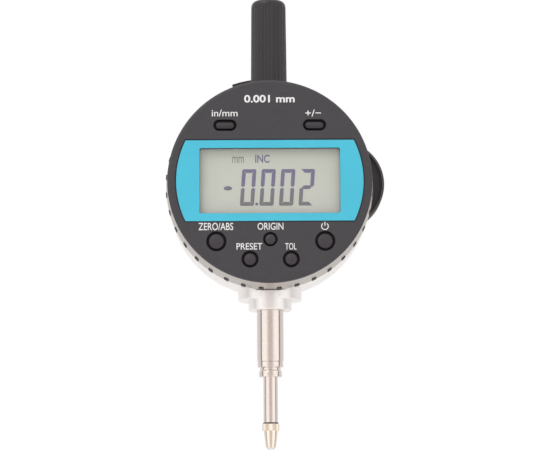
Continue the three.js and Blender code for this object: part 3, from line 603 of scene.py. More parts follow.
def plastics():
    face = grained("face_plastic", linear(54, 52, 57), linear(63, 61, 66), (0.5, 0.62), 0.35, 0.006)
    # Painted shade: the face darkens to 0.12 of its colour from 0.9 mm behind its front, on the walls of
    # the window and the button holes.
    face.painted_shade_behind(NodeBox("face_cover").low.y + FACE_EDGE + 0.1, 0.3, 0.12)
    grained("panel_blue", linear(62, 183, 211), linear(72, 193, 219), (0.42, 0.5), 0.25, 0.002)
    grained("black_plastic", linear(52, 50, 52), linear(60, 58, 60), (0.5, 0.62), 0.3, 0.008)
    # The tray's plastic, with painted shade: it darkens to about a third of its colour from 0.5 mm behind
    # its front, in its recess.
    tray = grained("tray_plastic", linear(66, 64, 66), linear(74, 72, 74), (0.45, 0.6), 0.3, 0.008)
    tray.painted_shade_behind(NodeBox("battery_tray").low.y + 0.5, 0.6, 0.35)
    grained("black_rubber", linear(66, 62, 66), linear(76, 72, 77), (0.58, 0.7), 0.2, 0.006)
    sheen = dict(Sheen_Weight=0.45, Sheen_Roughness=0.3)
    grained("cap_rubber", linear(32, 30, 34), linear(44, 42, 46), (0.36, 0.5), 0.3, 0.008, **sheen)
    keys = grained("button_rubber", linear(47, 43, 49), linear(56, 52, 58), (0.45, 0.55), 0.2, 0.004)
    # Painted shade: the sides of the keys darken in the gaps round them, from 0.35 mm behind the face's
    # front.
    keys.painted_shade_behind(NodeBox("face_cover").low.y + 0.35, 0.5, 0.08)
    grained("print_white", linear(222, 222, 224), linear(238, 238, 240), (0.5, 0.6), 0.15, 0.002)
    grained("circuit_board", linear(24, 92, 58), linear(34, 116, 72), (0.35, 0.5), 0.6, 0.01)
    grained("amber_film", linear(168, 104, 36), linear(190, 126, 52), (0.35, 0.5), 0.4, 0.004)
    grained("scale_glass", linear(140, 162, 166), linear(160, 180, 184), (0.08, 0.14), 0.3, 0.001)


def metals():
    steel = dict(metallic=1.0, drift=0.03)
    along = (6, 6, 1)
    dull, bright = linear(218, 208, 202), linear(236, 228, 223)
    grained("ground_steel", dull, bright, (0.09, 0.14), 0.1, 0.001, along, **steel)
    dull, bright = linear(232, 220, 204), linear(246, 237, 225)
    grained("contact_steel", dull, bright, (0.1, 0.16), 0.1, 0.001, along, **steel)
    grained("carbide", linear(224, 220, 216), linear(236, 232, 228), (0.12, 0.18), 0.2, 0.0005, **steel)
    grained("cell_steel", linear(196, 197, 200), linear(214, 215, 218), (0.24, 0.34), 0.2, 0.002, **steel)
    dull, bright = linear(184, 177, 172), linear(208, 201, 196)
    grained("silver_ring", dull, bright, (0.3, 0.4), 0.12, 0.006, (1, 6, 1), **steel)
    grained(
        "case_metal", linear(246, 243, 241), linear(253, 251, 250), (0.3, 0.4), 0.22, 0.012, metallic=0.6
    )


def window_clear():
    finish = Finish("window_clear", specular=0.5, Alpha=0.07)
    grain = finish.noise(1.5)
    finish.colour(finish.ramp(grain, [(0.3, linear(226, 232, 230)), (0.7, linear(238, 242, 240))]))
    finish.roughness(grain, 0.03, 0.07)
    finish.relief(grain, 0.0004)


def lcd_cell():
    """The grey-green background of the display, a little lighter towards its lower edge."""
    finish = Finish("lcd", specular=0.4)
    box = NodeBox("lcd_glass")
    height = finish.ranged(finish.axis(2), 0.0, 1.0, box.low.z * MM, box.high.z * MM)
    fall = finish.ramp(height, [(0.0, linear(193, 195, 187)), (1.0, linear(189, 193, 181))])
    grain = finish.noise(0.18)
    speckle = finish.ramp(grain, [(0.3, (0.98, 0.98, 0.98, 1)), (0.7, (1, 1, 1, 1))])
    finish.colour(finish.multiplied(fall, speckle))
    finish.roughness(grain, 0.36, 0.46)
    finish.relief(grain, 0.001)


def lcd_ink():
    """Segments that look violet in the upper half of the display and grey in the lower."""
    finish = Finish("lcd_ink", specular=0.3)
    centre = HEAD_Z - 2.3
    height = finish.ranged(finish.axis(2), 0.0, 1.0, (centre - 2.5) * MM, (centre + 2.5) * MM)
    fall = finish.ramp(height, [(0.0, linear(92, 89, 94)), (1.0, linear(88, 77, 124))])
    grain = finish.noise(0.12)
    speckle = finish.ramp(grain, [(0.3, (0.93, 0.93, 0.95, 1)), (0.7, (1, 1, 1, 1))])
    finish.colour(finish.multiplied(fall, speckle))
    finish.roughness(grain, 0.4, 0.5)
    finish.relief(grain, 0.001)


def lcd_grey():
    finish = Finish("lcd_grey", specular=0.3)
    grain = finish.noise(0.12)
    finish.colour(finish.ramp(grain, [(0.3, linear(86, 84, 85)), (0.7, linear(96, 94, 95))]))
    finish.roughness(grain, 0.4, 0.5)
    finish.relief(grain, 0.001)


def make_finishes():
    plastics()
    metals()
    window_clear()
    lcd_cell()
    lcd_ink()
    lcd_grey()
    grained("floor", linear(236, 236, 237), linear(242, 242, 243), (0.6, 0.7), 4.0, 0.02)


# ---------------------------------------------------------------- display head


def window_outline():
    return rounded_box(*WINDOW)


def button_hole(node):
    """The outline of the hole that a button fills, from the button's own flange."""
    box = NodeBox(node)
    width = box.size.x - 2 * BUTTON_FLANGE
    height = box.size.z - 2 * BUTTON_FLANGE
    return stadium(width, height, box.centre.x, box.centre.z)


def face_cover():
    box = NodeBox("face_cover")
    radius = box.size.x / 2
    front, spigot_back = box.low.y, box.high.y
    floor = front + POCKET_DEPTH
    shell = Shell()
    rows = [(radius - inset, depth) for inset, depth in edge_arc(FACE_EDGE, front, 1)]
    rows += [(radius, FACE_PLATE_BACK), (SPIGOT_R[1], FACE_PLATE_BACK), (SPIGOT_R[1], spigot_back)]
    rows += [(SPIGOT_R[0], spigot_back), (SPIGOT_R[0], FACE_PLATE_BACK)]
    outer = [shell.loop_at(circle(reach, count=FINE)(), depth) for reach, depth in rows]
    shell.tube(outer)
    panel = NodeBox("face_panel")
    pocket_shape = panel_outline(panel.size.x / 2, panel.size.z / 2, PANEL_CORNER)
    lip = [(POCKET_GAP + inset, depth) for inset, depth in edge_arc(0.08, front, 1)] + [(POCKET_GAP, floor)]
    pocket = [shell.loop_at(pocket_shape(grow), depth) for grow, depth in lip]
    shell.tube(pocket)
    window = [shell.loop_at(window_outline()(), depth) for depth in (floor, FACE_PLATE_BACK)]
    shell.tube(window)
    holes = []
    for node in BUTTON_BODIES:
        rows = edge_arc(HOLE_LIP, front, 1) + [(0.0, FACE_PLATE_BACK)]
        hole = [shell.loop_at(button_hole(node)(inset), depth) for inset, depth in rows]
        shell.tube(hole)
        holes.append(hole)
    shell.cap(outer[0], pocket[0], *[hole[0] for hole in holes])
    shell.cap(pocket[-1], window[0])
    shell.cap(outer[-1], window[-1], *[hole[-1] for hole in holes])
    stand_for("face_cover", shell, "display")


def face_panel():
    box = NodeBox("face_panel")
    shape = panel_outline(box.size.x / 2, box.size.z / 2, PANEL_CORNER)
    shell = Shell()
    shell.plate(shape, box.low.y, box.high.y, 0.05, [window_outline()])
    stand_for("face_panel", shell, "display")


def window_lens():
    box = NodeBox("window_lens")
    shell = Shell()
    shell.plate(rounded_box(box.size.x, box.size.z, WINDOW[2]), box.low.y, box.high.y, 0.08)
    stand_for("window_lens", shell, "display")


def lcd_glass():
    box = NodeBox("lcd_glass")
    shell = Shell()
    shell.plate(rounded_box(box.size.x, box.size.z, 0.3), box.low.y, box.high.y, 0.1)
    stand_for("lcd_glass", shell, "display")


def polygon_plate(shell, points, front, thick):
    """A thin plate from one polygon of (x, z) points."""
    near = shell.loop_at(points, front)
    far = shell.loop_at(points, front + thick)
    shell.tube([near, far])
    shell.cap(near)
    shell.cap(far)


SEGMENTS_OF = {"0": "abcdef", "2": "abged"}


def segment_points(width, height, stroke, gap):
    """The seven segments of an upright digit, as polygons from its lower left corner."""
    middle = height / 2
    half = stroke / 2
    nick = 0.3 * stroke
    top = [
        (gap, height),
        (width - gap, height),
        (width - stroke - gap, height - stroke),
        (stroke + gap, height - stroke),
    ]
    right = [
        (width, height - gap - nick),
        (width, middle + gap + nick),
        (width - half, middle + gap),
        (width - stroke, middle + gap + nick),
        (width - stroke, height - stroke - gap),
        (width - nick, height - gap),
    ]
    bar = [
        (gap + half, middle),
        (gap + stroke, middle + half),
        (width - gap - stroke, middle + half),
        (width - gap - half, middle),
        (width - gap - stroke, middle - half),
        (gap + stroke, middle - half),
    ]

    def flip_x(points):
        return [(width - x, z) for x, z in points]

    def flip_z(points):
        return [(x, height - z) for x, z in points]

    return {
        "a": top,
        "b": right,
        "c": flip_z(right),
        "d": flip_z(top),
        "e": flip_x(flip_z(right)),
        "f": flip_x(right),
        "g": bar,
    }


def lcd_digits():
    front = NodeBox("lcd_glass").low.y - LCD_INK_THICK
    shapes = segment_points(DIGIT_WIDTH, DIGIT_HEIGHT, DIGIT_STROKE, DIGIT_GAP)
    shell = Shell()
    for index, digit in enumerate("0002"):
        left = DIGIT_FIRST_X + DIGIT_PITCH * index
        for key in SEGMENTS_OF[digit]:
            points = [(left + x + DIGIT_SLANT * z, HEAD_Z + DIGIT_BASE_Z + z) for x, z in shapes[key]]
            polygon_plate(shell, points, front, LCD_INK_THICK)
    polygon_plate(shell, circle(POINT_R, POINT_AT[0], HEAD_Z + POINT_AT[1], 20)(), front, LCD_INK_THICK)
    sign = [
        (MINUS_AT[0] + a * MINUS_SIZE[0] / 2, HEAD_Z + MINUS_AT[1] + b * MINUS_SIZE[1] / 2)
        for a, b in circle(1.0, 0, 0, 32)()
    ]
    polygon_plate(shell, sign, front, LCD_INK_THICK)
    settle(object_of(shell, "lcd_digits"), "lcd_digits", "lcd", "display", finish="lcd_ink")


def lettering(name, row, front, thick, slot):
    """Words as a thin solid print, fitted to their box."""
    text, box, weight, finish = row
    curve = bpy.data.curves.new(name, "FONT")
    curve.body = text
    curve.extrude = 0.05
    curve.offset = weight
    curve.resolution_u = 6
    words = bpy.data.objects.new(name, curve)
    bpy.context.scene.collection.objects.link(words)
    graph = bpy.context.evaluated_depsgraph_get()
    mesh = bpy.data.meshes.new_from_object(words.evaluated_get(graph))
    bpy.data.objects.remove(words)
    points = [vertex.co.copy() for vertex in mesh.vertices]
    low = [min(point[axis] for point in points) for axis in range(3)]
    high = [max(point[axis] for point in points) for axis in range(3)]
    left, right, bottom, top = box
    for vertex, point in zip(mesh.vertices, points):
        across = (point.x - low[0]) / (high[0] - low[0])
        up = (point.y - low[1]) / (high[1] - low[1])
        deep = (high[2] - point.z) / (high[2] - low[2])
        x = left + (right - left) * across
        z = HEAD_Z + bottom + (top - bottom) * up
        vertex.co = (x * MM, (front + thick * deep) * MM, z * MM)
    work = bmesh.new()
    work.from_mesh(mesh)
    bmesh.ops.remove_doubles(work, verts=work.verts, dist=1e-7)
    bmesh.ops.recalc_face_normals(work, faces=work.faces)
    work.to_mesh(mesh)
    work.free()
    for polygon in mesh.polygons:
        polygon.use_smooth = False
    made = bpy.data.objects.new(name, mesh)
    bpy.context.scene.collection.objects.link(made)
    settle(made, name, slot, "display", finish=finish)


def power_mark():
    front = NodeBox("face_cover").low.y - PRINT_THICK
    x, z = POWER_MARK_AT
    shell = Shell()
    start, end = POWER_MARK_ANGLES
    ring = arc(POWER_MARK_R[1], start, end, 40, x, HEAD_Z + z)
    ring += arc(POWER_MARK_R[0], end, start, 40, x, HEAD_Z + z)
    polygon_plate(shell, ring, front, PRINT_THICK)
    half = (POWER_MARK_R[1] - POWER_MARK_R[0]) / 2
    bar = rounded_box(2 * half, POWER_MARK_BAR, half * 0.9, x, HEAD_Z + z + POWER_MARK_BAR * 0.55, 4)
    polygon_plate(shell, bar(), front, PRINT_THICK)
    settle(object_of(shell, "print_power"), "print_power", "face_plastic", "display", finish="print_white")


def labels():
    front = NodeBox("face_cover").low.y - PRINT_THICK
    for name, row in LABELS.items():
        lettering(name, row, front, PRINT_THICK, "face_plastic")
    power_mark()
    ink = NodeBox("lcd_glass").low.y - LCD_INK_THICK
    for name, row in LCD_WORDS.items():
        lettering(name, row, ink, LCD_INK_THICK, "lcd")


def bezel_ring():
    """The silver ring, with a notch at its rear edge for every pad of the grip ring."""
    box = NodeBox("bezel_ring")
    outer, front, back = box.size.x / 2, box.low.y, box.high.y
    inner = outer - BEZEL_WALL
    notch_r = NodeBox("grip_ring").size.x / 2 - PAD_HEIGHT
    notch_front = NodeBox("grip_ring").low.y - NOTCH_MARGIN
    slope = (outer - BEZEL_FRONT_R) / (BEZEL_WIDE_FROM - front)

    def taper(depth):
        return BEZEL_FRONT_R + slope * (depth - front)

    lead = [(inner, front)]
    lead += [(taper(depth) - inset, depth) for inset, depth in edge_arc(BEZEL_EDGE, front, 1)]
    lead += [(taper(notch_front - SUPPORT), notch_front - SUPPORT), (taper(notch_front), notch_front)]
    land = lead + [(outer, BEZEL_WIDE_FROM), (outer, back), (notch_r, back), (inner, back)]
    notch = lead + [((outer + notch_r) / 2, notch_front), (notch_r, notch_front)]
    notch += [(notch_r, back), (inner, back)]
    shell = Shell()
    half = math.asin((PAD_WIDTH / 2 + NOTCH_MARGIN) / outer)
    pitch = 2 * math.pi / PAD_COUNT
    sections = []
    for index in range(PAD_COUNT):
        middle = PAD_START + pitch * index
        for turn, profile in (
            (-half, land),
            (-half, notch),
            (0.0, notch),
            (half, notch),
            (half, land),
            (half + (pitch - 2 * half) / 3, land),
            (half + (pitch - 2 * half) * 2 / 3, land),
        ):
            ring = []
            for reach, depth in profile:
                x, z = polar(reach, middle + turn, 0, HEAD_Z)
                ring.append((x, depth, z))
            sections.append(shell.loop(ring))
    shell.tube(sections, closed=True)
    stand_for("bezel_ring", shell, "display")


def grip_ring():
    """A thin rubber ring that carries the pads which fill the bezel's notches."""
    box = NodeBox("grip_ring")
    outer, front, back = box.size.x / 2, box.low.y, box.high.y
    shell = Shell()
    band_inner, band_outer = GRIP_BAND_R
    band_front = back - GRIP_BAND_THICK
    rows = [(band_inner, band_front), (band_outer, band_front), (band_outer, back), (band_inner, back)]
    shell.turn(rows, "Y", closed=True, count=FINE)
    made = object_of(shell, "grip_ring_look")
    for index in range(PAD_COUNT):
        angle = PAD_START + 2 * math.pi * index / PAD_COUNT
        pad = Shell()
        shape = rounded_box(PAD_HEIGHT, PAD_WIDTH, 0.12, outer - PAD_HEIGHT / 2, 0, 3)
        pad.plate(shape, front, back, 0.1)
        cosine, sine = math.cos(angle), math.sin(angle)
        turned = []
        for x, y, z in pad.points:
            turned.append((x * cosine - z * sine, y, x * sine + z * cosine + HEAD_Z))
        pad.points = turned
        carve(made, object_of(pad, "pad"), "UNION")
    stand_for("grip_ring", made, "display")


# ---------------------------------------------------------------- buttons


def button(node, body):
    box = NodeBox(node)
    front, back = box.low.y, box.high.y
    hole = button_hole(node)
    gap = BUTTON_GAP[node]
    middle = DOME_REACH * (box.size.z / 2 - BUTTON_FLANGE - gap)
    rows = []
    for step in range(DOME_STEPS):
        share = step / DOME_STEPS
        inset = middle * (1 - share) + BUTTON_EDGE * share
        rows.append((-gap - inset, front + BUTTON_DOME * share**2))
    rows += [(-gap - inset, depth) for inset, depth in edge_arc(BUTTON_EDGE, front + BUTTON_DOME, 1)]
    rows += [(-gap, FLANGE_DEPTHS[0]), (BUTTON_FLANGE, FLANGE_DEPTHS[0])]
    rows += [(BUTTON_FLANGE, FLANGE_DEPTHS[1]), (-gap, FLANGE_DEPTHS[1]), (-gap, back)]
    shell = Shell()
    loops = [shell.loop_at(hole(grow), depth) for grow, depth in rows]
    shell.tube(loops)
    shell.cap(loops[0])
    shell.cap(loops[-1])
    stand_for(node, shell, body, "button_rubber")


# ---------------------------------------------------------------- case


def slab(x, y, z):
    """A plain block, for cutting only."""
    shell = Shell()
    corners = [(x[0], z[0]), (x[1], z[0]), (x[1], z[1]), (x[0], z[1])]
    polygon_plate(shell, corners, y[0], y[1] - y[0])
    return object_of(shell, "tool")


def rod(radius, z, count=ROUND):
    """A plain upright rod on the measuring axis, for cutting only."""
    shell = Shell()
    shell.turn([(0, z[0]), (radius, z[0]), (radius, z[1]), (0, z[1])], "Z", count=count)
    return object_of(shell, "tool")


def case_cup():
    back = NodeBox("back_cover").low.y - 0.05
    front = CASE_FRONT
    shell = Shell()
    inside = front + CASE_WALL
    rows = [
        (CASE_OPENING_R, front),
        (CASE_R[1], front, 0.5),
        (CASE_R[1], back),
        (CASE_R[0], back),
        (CASE_R[0], inside),
        (CASE_OPENING_R, inside),
    ]
    shell.turn(rounded_profile(rows), "Y", closed=True, count=FINE + 32)
    return object_of(shell, "case_shell_look")


def case_boss():
    """The boss under the case, with the collar of the stem standing a little proud of its front."""
    shell = Shell()
    rows = [(0, BOSS_BOTTOM), (BOSS_R, BOSS_BOTTOM, 0.4), (BOSS_R, BOSS_TOP), (0, BOSS_TOP)]
    shell.turn(rounded_profile(rows), "Z", count=ROUND + 24)
    shell.points = [(x, y + BOSS_AT_DEPTH, z) for x, y, z in shell.points]
    boss = object_of(shell, "tool")
    collar = Shell()
    rows = [(0, 0), (COLLAR_R, 0, 0.35), (COLLAR_R, BOSS_TOP - 0.1), (0, BOSS_TOP - 0.1)]
    collar.turn(rounded_profile(rows), "Z", count=ROUND + 24)
    carve(boss, object_of(collar, "tool"), "UNION")
    hollow = Shell()
    rows = [(0, -20), (BOSS_HOLLOW_R, -20), (BOSS_HOLLOW_R, CASE_FRONT), (0, CASE_FRONT)]
    hollow.turn(rows, "Y", count=2 * FINE)
    carve(boss, object_of(hollow, "tool"), "DIFFERENCE")
    return boss


def screw_angles():
    return [math.pi / 4 + math.pi / 2 * index for index in range(4)]


def case_shell():
    made = case_cup()
    carve(made, case_boss(), "UNION")
    carve(made, rod(TOP_BOSS_R, TOP_BOSS_Z), "UNION")
    port = Shell()
    port.plate(sector(CASE_R[0] + 0.4, PORT_HOUSING_R, *PORT_ANGLES), *PORT_DEPTHS, edge=0.25)
    carve(made, object_of(port, "tool"), "UNION")
    for angle in screw_angles():
        x, z = polar(POST_AT, angle, 0, HEAD_Z)
        post = Shell()
        rows = [(1.15, CASE_FRONT + 1), (POST_R, CASE_FRONT + 1), (POST_R, POST_BACK), (1.15, POST_BACK)]
        post.turn(rows, "Y", x, z, closed=True, count=32)
        carve(made, object_of(post, "tool"), "UNION")
    tray = NodeBox("battery_tray")
    margin = 0.2
    slot = slab(
        (20, 40), (tray.low.y - margin, tray.high.y + margin), (tray.low.z - margin, tray.high.z + margin)
    )
    carve(made, slot, "DIFFERENCE")
    carve(made, rod(NodeBox("stem").size.x / 2 + 0.05, (-1, BOSS_TOP + 1)), "DIFFERENCE")
    carve(made, rod(SLEEVE_R + 0.05, (TOP_BOSS_Z[0] - 1, TOP_BOSS_Z[1] + 1)), "DIFFERENCE")
    flange_bottom = NodeBox("upper_bush").low.z
    carve(made, rod(FLANGE_RELIEF_R, (flange_bottom - 0.5, TOP_BOSS_Z[0])), "DIFFERENCE")
    turn = PORT_WALL / PORT_HOUSING_R
    pocket = Shell()
    pocket_shape = sector(CASE_R[0] - 1, PORT_HOUSING_R + 1, PORT_ANGLES[0] + turn, PORT_ANGLES[1] - turn)
    pocket.plate(pocket_shape, PORT_DEPTHS[0] + PORT_WALL, PORT_DEPTHS[1] - PORT_WALL, edge=0.05)
    carve(made, object_of(pocket, "tool"), "DIFFERENCE")
    pin = NodeBox("rotation_stop_pin")
    hole = Shell()
    rows = [(0, -8), (pin.size.x / 2 + 0.05, -8), (pin.size.x / 2 + 0.05, 0), (0, 0)]
    hole.turn(rows, "Y", 0, pin.centre.z, count=32)
    carve(made, object_of(hole, "tool"), "DIFFERENCE")
    stand_for("case_shell", made, "case")


def stem():
    box = NodeBox("stem")
    radius, bottom, top = box.size.x / 2, box.low.z, box.high.z
    rows = [
        (STEM_BORE_R, bottom),
        (STEM_STEP_R, bottom, 0.2),
        (STEM_STEP_R, STEM_STEP_Z - STEM_GROOVE[0]),
        (STEM_STEP_R - STEM_GROOVE[1], STEM_STEP_Z - STEM_GROOVE[0] / 2),
        (STEM_STEP_R - STEM_GROOVE[1], STEM_STEP_Z),
        (radius, STEM_STEP_Z, 0.06),
        (radius, top),
        (STEM_BORE_R, top),
    ]
    shell = Shell()
    shell.turn(rounded_profile(rows), "Z", closed=True)
    stand_for("stem", shell, "case")


def lower_bush():
    box = NodeBox("lower_bush")
    tip, top, radius = box.low.z, box.high.z, box.size.x / 2
    bore = NodeBox("spindle_rod").size.x / 2 + 0.05
    rows = [
        (bore, tip),
        (radius, tip, 0.3),
        (radius, tip + BUSH_NUT_HEIGHT, 0.12),
        (BUSH_NECK_R, BUSH_NECK_Z[0]),
        (BUSH_NECK_R, BUSH_NECK_Z[1], 0.08),
        (STEM_BORE_R - 0.05, BUSH_NECK_Z[1]),
        (STEM_BORE_R - 0.05, top),
        (bore, top),
    ]
    shell = Shell()
    shell.turn(rounded_profile(rows), "Z", closed=True)
    stand_for("lower_bush", shell, "case")


def upper_bush():
    box = NodeBox("upper_bush")
    bottom, top = box.low.z, box.high.z
    bore = NodeBox("spindle_rod").size.x / 2 + 0.05
    flange_top = TOP_BOSS_Z[0] - 0.3
    rows = [
        (bore, bottom),
        (box.size.x / 2, bottom),
        (box.size.x / 2, flange_top),
        (SLEEVE_R, flange_top),
        (SLEEVE_R, top, 0.4),
        (bore, top),
    ]
    shell = Shell()
    shell.turn(rounded_profile(rows), "Z", closed=True)
    stand_for("upper_bush", shell, "case")


def back_cover():
    box = NodeBox("back_cover")
    radius, front, back = box.size.x / 2, box.low.y, box.high.y
    shell = Shell()
    rows = [(0.0, front)] + edge_arc(0.5, back, -1)[::-1]
    rim = [shell.loop_at(circle(radius - inset, count=FINE)(), depth) for inset, depth in rows]
    shell.tube(rim)
    sinks = []
    for angle in screw_angles():
        x, z = polar(POST_AT, angle, 0, HEAD_Z)
        rows = [(1.1, front), (1.1, front + 0.3), (2.2, back - 0.1), (2.2, back)]
        sink = [shell.loop_at(circle(reach, x, z, 40)(), depth) for reach, depth in rows]
        shell.tube(sink)
        sinks.append(sink)
    groove_rows = [(BACK_GROOVE_R[0], back), (BACK_GROOVE_R[0] + 0.2, back - 0.3)]
    groove_rows += [(BACK_GROOVE_R[1] - 0.2, back - 0.3), (BACK_GROOVE_R[1], back)]
    groove = [shell.loop_at(circle(reach, count=FINE)(), depth) for reach, depth in groove_rows]
    shell.tube(groove)
    shell.cap(rim[0], *[sink[0] for sink in sinks])
    shell.cap(rim[-1], groove[-1], *[sink[-1] for sink in sinks])
    shell.cap(groove[0])
    stand_for("back_cover", shell, "case")


def back_screws():
    for index in range(4):
        node = f"back_screw_{index + 1}"
        box = NodeBox(node)
        x, z = box.centre.x, box.centre.z
        front, back, radius = box.low.y, box.high.y, box.size.x / 2
        shell = Shell()
        rows = [(0, front), (SCREW_SHANK_R, front), (SCREW_SHANK_R, back - SCREW_HEAD_HEIGHT)]
        rows += [(radius, back - 0.1), (radius, back, 0.05), (0, back)]
        shell.turn(rounded_profile(rows), "Y", x, z, count=48)
        made = object_of(shell, "tool")
        for width, height in (CROSS_SLOT, CROSS_SLOT[::-1]):
            across = (x - width / 2, x + width / 2)
            upright = (z - height / 2, z + height / 2)
            carve(made, slab(across, (back - CROSS_DEPTH, back + 1), upright), "DIFFERENCE")
        stand_for(node, made, "case")


# ---------------------------------------------------------------- spindle


def spindle_rod():
    box = NodeBox("spindle_rod")
    radius, bottom, top = box.size.x / 2, box.low.z, box.high.z
    stub = NodeBox("contact_point")
    socket_r = POINT_STUB_R + 0.05
    rows = [
        (0, stub.high.z + 0.3),
        (socket_r, stub.high.z + 0.3),
        (socket_r, bottom),
        (radius, bottom, 0.08),
        (radius, top, 0.5),
        (0, top),
    ]
    shell = Shell()
    shell.turn(rounded_profile(rows), "Z")
    made = object_of(shell, "tool")
    pin = NodeBox("anti_rotation_pin")
    drill = Shell()
    reach = pin.size.z / 2 + 0.05
    rows = [(0, -4), (reach, -4), (reach, 0.5), (0, 0.5)]
    drill.turn(rows, "Z", count=24)
    drill.points = [(height, across, deep + pin.centre.z) for deep, across, height in drill.points]
    carve(made, object_of(drill, "tool"), "DIFFERENCE")
    stand_for("spindle_rod", made, "spindle")


def contact_point():
    box = NodeBox("contact_point")
    tip = box.low.z
    ball = NodeBox("contact_ball")
    seat_r = ball.size.z / 2 + 0.05
    collar_top = NodeBox("spindle_rod").low.z - POINT_GAP
    collar_bottom = collar_top - POINT_COLLAR_HEIGHT
    collar_r = box.size.x / 2
    seat = []
    for step in range(9):
        height = tip + (ball.centre.z + seat_r - tip) * (1 - step / 8)
        reach = math.sqrt(max(0.0, seat_r**2 - (height - ball.centre.z) ** 2))
        seat.append((reach, height))
    rows = seat + [
        (POINT_TAPER_R[1], tip, 0.05),
        (POINT_TAPER_R[0], collar_bottom),
        (collar_r, collar_bottom, 0.2),
        (collar_r, collar_top, 0.2),
        (POINT_STUB_R, collar_top),
        (POINT_STUB_R, box.high.z),
        (0, box.high.z),
    ]

    def knurl(angle, radius, height):
        if radius < collar_r - 0.12:
            return radius
        return radius - KNURL_DEPTH * (0.5 - 0.5 * math.cos(KNURL_RIDGES * angle))

    shell = Shell()
    shell.turn(rounded_profile(rows), "Z", count=KNURL_RIDGES * 6, ripple=knurl)
    stand_for("contact_point", shell, "spindle")


def point_shade_ring():
    """Painted shade: a thin dark ring in the joint between the end of the spindle and the collar of the
    contact point.
    """
    top = NodeBox("spindle_rod").low.z
    rows = [
        (POINT_STUB_R, top - POINT_GAP),
        (POINT_SHADE_RING_R, top - POINT_GAP, 0.05),
        (POINT_SHADE_RING_R, top, 0.05),
        (POINT_STUB_R, top),
    ]
    shell = Shell()
    shell.turn(rounded_profile(rows), "Z", closed=True, count=ROUND)
    made = object_of(shell, "point_shade_ring")
    settle(made, "point_shade_ring", SLOT_OF["contact_point"], "spindle", finish="black_rubber")


def contact_ball():
    box = NodeBox("contact_ball")
    radius = box.size.z / 2
    rows = []
    for step in range(33):
        angle = math.pi * step / 32 - math.pi / 2
        rows.append((radius * math.cos(angle), box.centre.z + radius * math.sin(angle)))
    shell = Shell()
    shell.turn(rows, "Z", count=64)
    stand_for("contact_ball", shell, "spindle")


# ---------------------------------------------------------------- battery tray


def tray_outline(box):
    cell = NodeBox("coin_cell").centre
    radius = box.high.x - cell.x

    def at(grow=0.0):
        half_height = box.size.z / 2 + grow
        side = math.asin(half_height / (radius + grow))
        head = arc(radius + grow, -side, side, 64, cell.x, cell.z)
        left = box.low.x - grow
        return head + [(left, cell.z + half_height), (left, cell.z - half_height)]

    return at


def battery_tray():
    box = NodeBox("battery_tray")
    cell = NodeBox("coin_cell")
    x, z = cell.centre.x, cell.centre.z
    front, back = box.low.y, box.high.y
    floor = cell.low.y - 0.1
    shell = Shell()
    rows = wall_rows(front, back, 0.25, 0.25)
    rim = [shell.loop_at(tray_outline(box)(-inset), depth) for inset, depth in rows]
    shell.tube(rim)
    recess_shape = chord_disc(box.high.x - x - TRAY_LIP, x, z, CASE_R[1] - 1)
    rows = edge_arc(0.12, front, 1) + [(0.0, front + TRAY_RECESS)]
    recess = [shell.loop_at(recess_shape(inset), depth) for inset, depth in rows]
    shell.tube(recess)
    window = [shell.loop_at(circle(TRAY_WINDOW_R, x, z)(), depth) for depth in (front, floor)]
    shell.tube(window)
    pocket_r = cell.size.z / 2 + 0.15
    pocket = [shell.loop_at(circle(pocket_r, x, z)(), depth) for depth in (floor, back)]
    shell.tube(pocket)
    shell.tube([window[-1], pocket[0]])
    shell.cap(rim[0], recess[0], window[0])
    shell.cap(recess[-1])
    shell.cap(rim[-1], pocket[-1])
    stand_for("battery_tray", shell, "battery_tray", "tray_plastic")


def coin_cell():
    box = NodeBox("coin_cell")
    radius, front, back = box.size.z / 2, box.low.y, box.high.y
    rows = [
        (0, front),
        (radius - 1.2, front, 0.1),
        (radius - 1.0, front + 0.3),
        (radius, front + 0.5, 0.15),
        (radius, back, 0.3),
        (0, back),
    ]
    shell = Shell()
    shell.turn(rounded_profile(rows), "Y", box.centre.x, box.centre.z)
    stand_for("coin_cell", shell, "battery_tray")


# ---------------------------------------------------------------- dust cap and port cover


def dust_cap():
    box = NodeBox("dust_cap")
    foot, nub_top = box.low.z, box.high.z
    top = nub_top - CAP_NUB_HEIGHT
    foot_r = box.size.x / 2
    roof = top - CAP_ROOF
    rows = [
        (0, roof),
        (CAP_BORE_R, roof),
        (CAP_BORE_R, foot),
        (foot_r, foot, 0.12),
        (CAP_HEAD_R, top, CAP_CORNER),
        (CAP_NUB_R, top, 0.12),
        (CAP_NUB_R, nub_top, 0.4),
        (0, nub_top),
    ]
    fade_from = top - CAP_CORNER - CAP_RIB_FADE

    def ribs(angle, radius, height):
        if radius < CAP_BORE_R + 0.3 or height > top - 0.2:
            return radius
        fade = min(1.0, max(0.0, (top - CAP_CORNER * 0.6 - height) / CAP_RIB_FADE))
        wave = 0.5 - 0.5 * math.cos(CAP_RIBS * angle)
        return radius - CAP_RIB_DEPTH * fade * wave**2

    profile = rounded_profile(rows)
    wall = []
    for row in profile:
        if wall and wall[-1][1] < fade_from < row[1]:
            last_r, last_z = wall[-1]
            for step in range(1, 7):
                share = (fade_from + (row[1] - fade_from) * step / 7 - last_z) / (row[1] - last_z)
                wall.append((last_r + (row[0] - last_r) * share, last_z + (row[1] - last_z) * share))
        wall.append(row)
    shell = Shell()
    shell.turn(wall, "Z", count=CAP_RIBS * 10, ripple=ribs)
    stand_for("dust_cap", shell, "dust_cap", "cap_rubber")


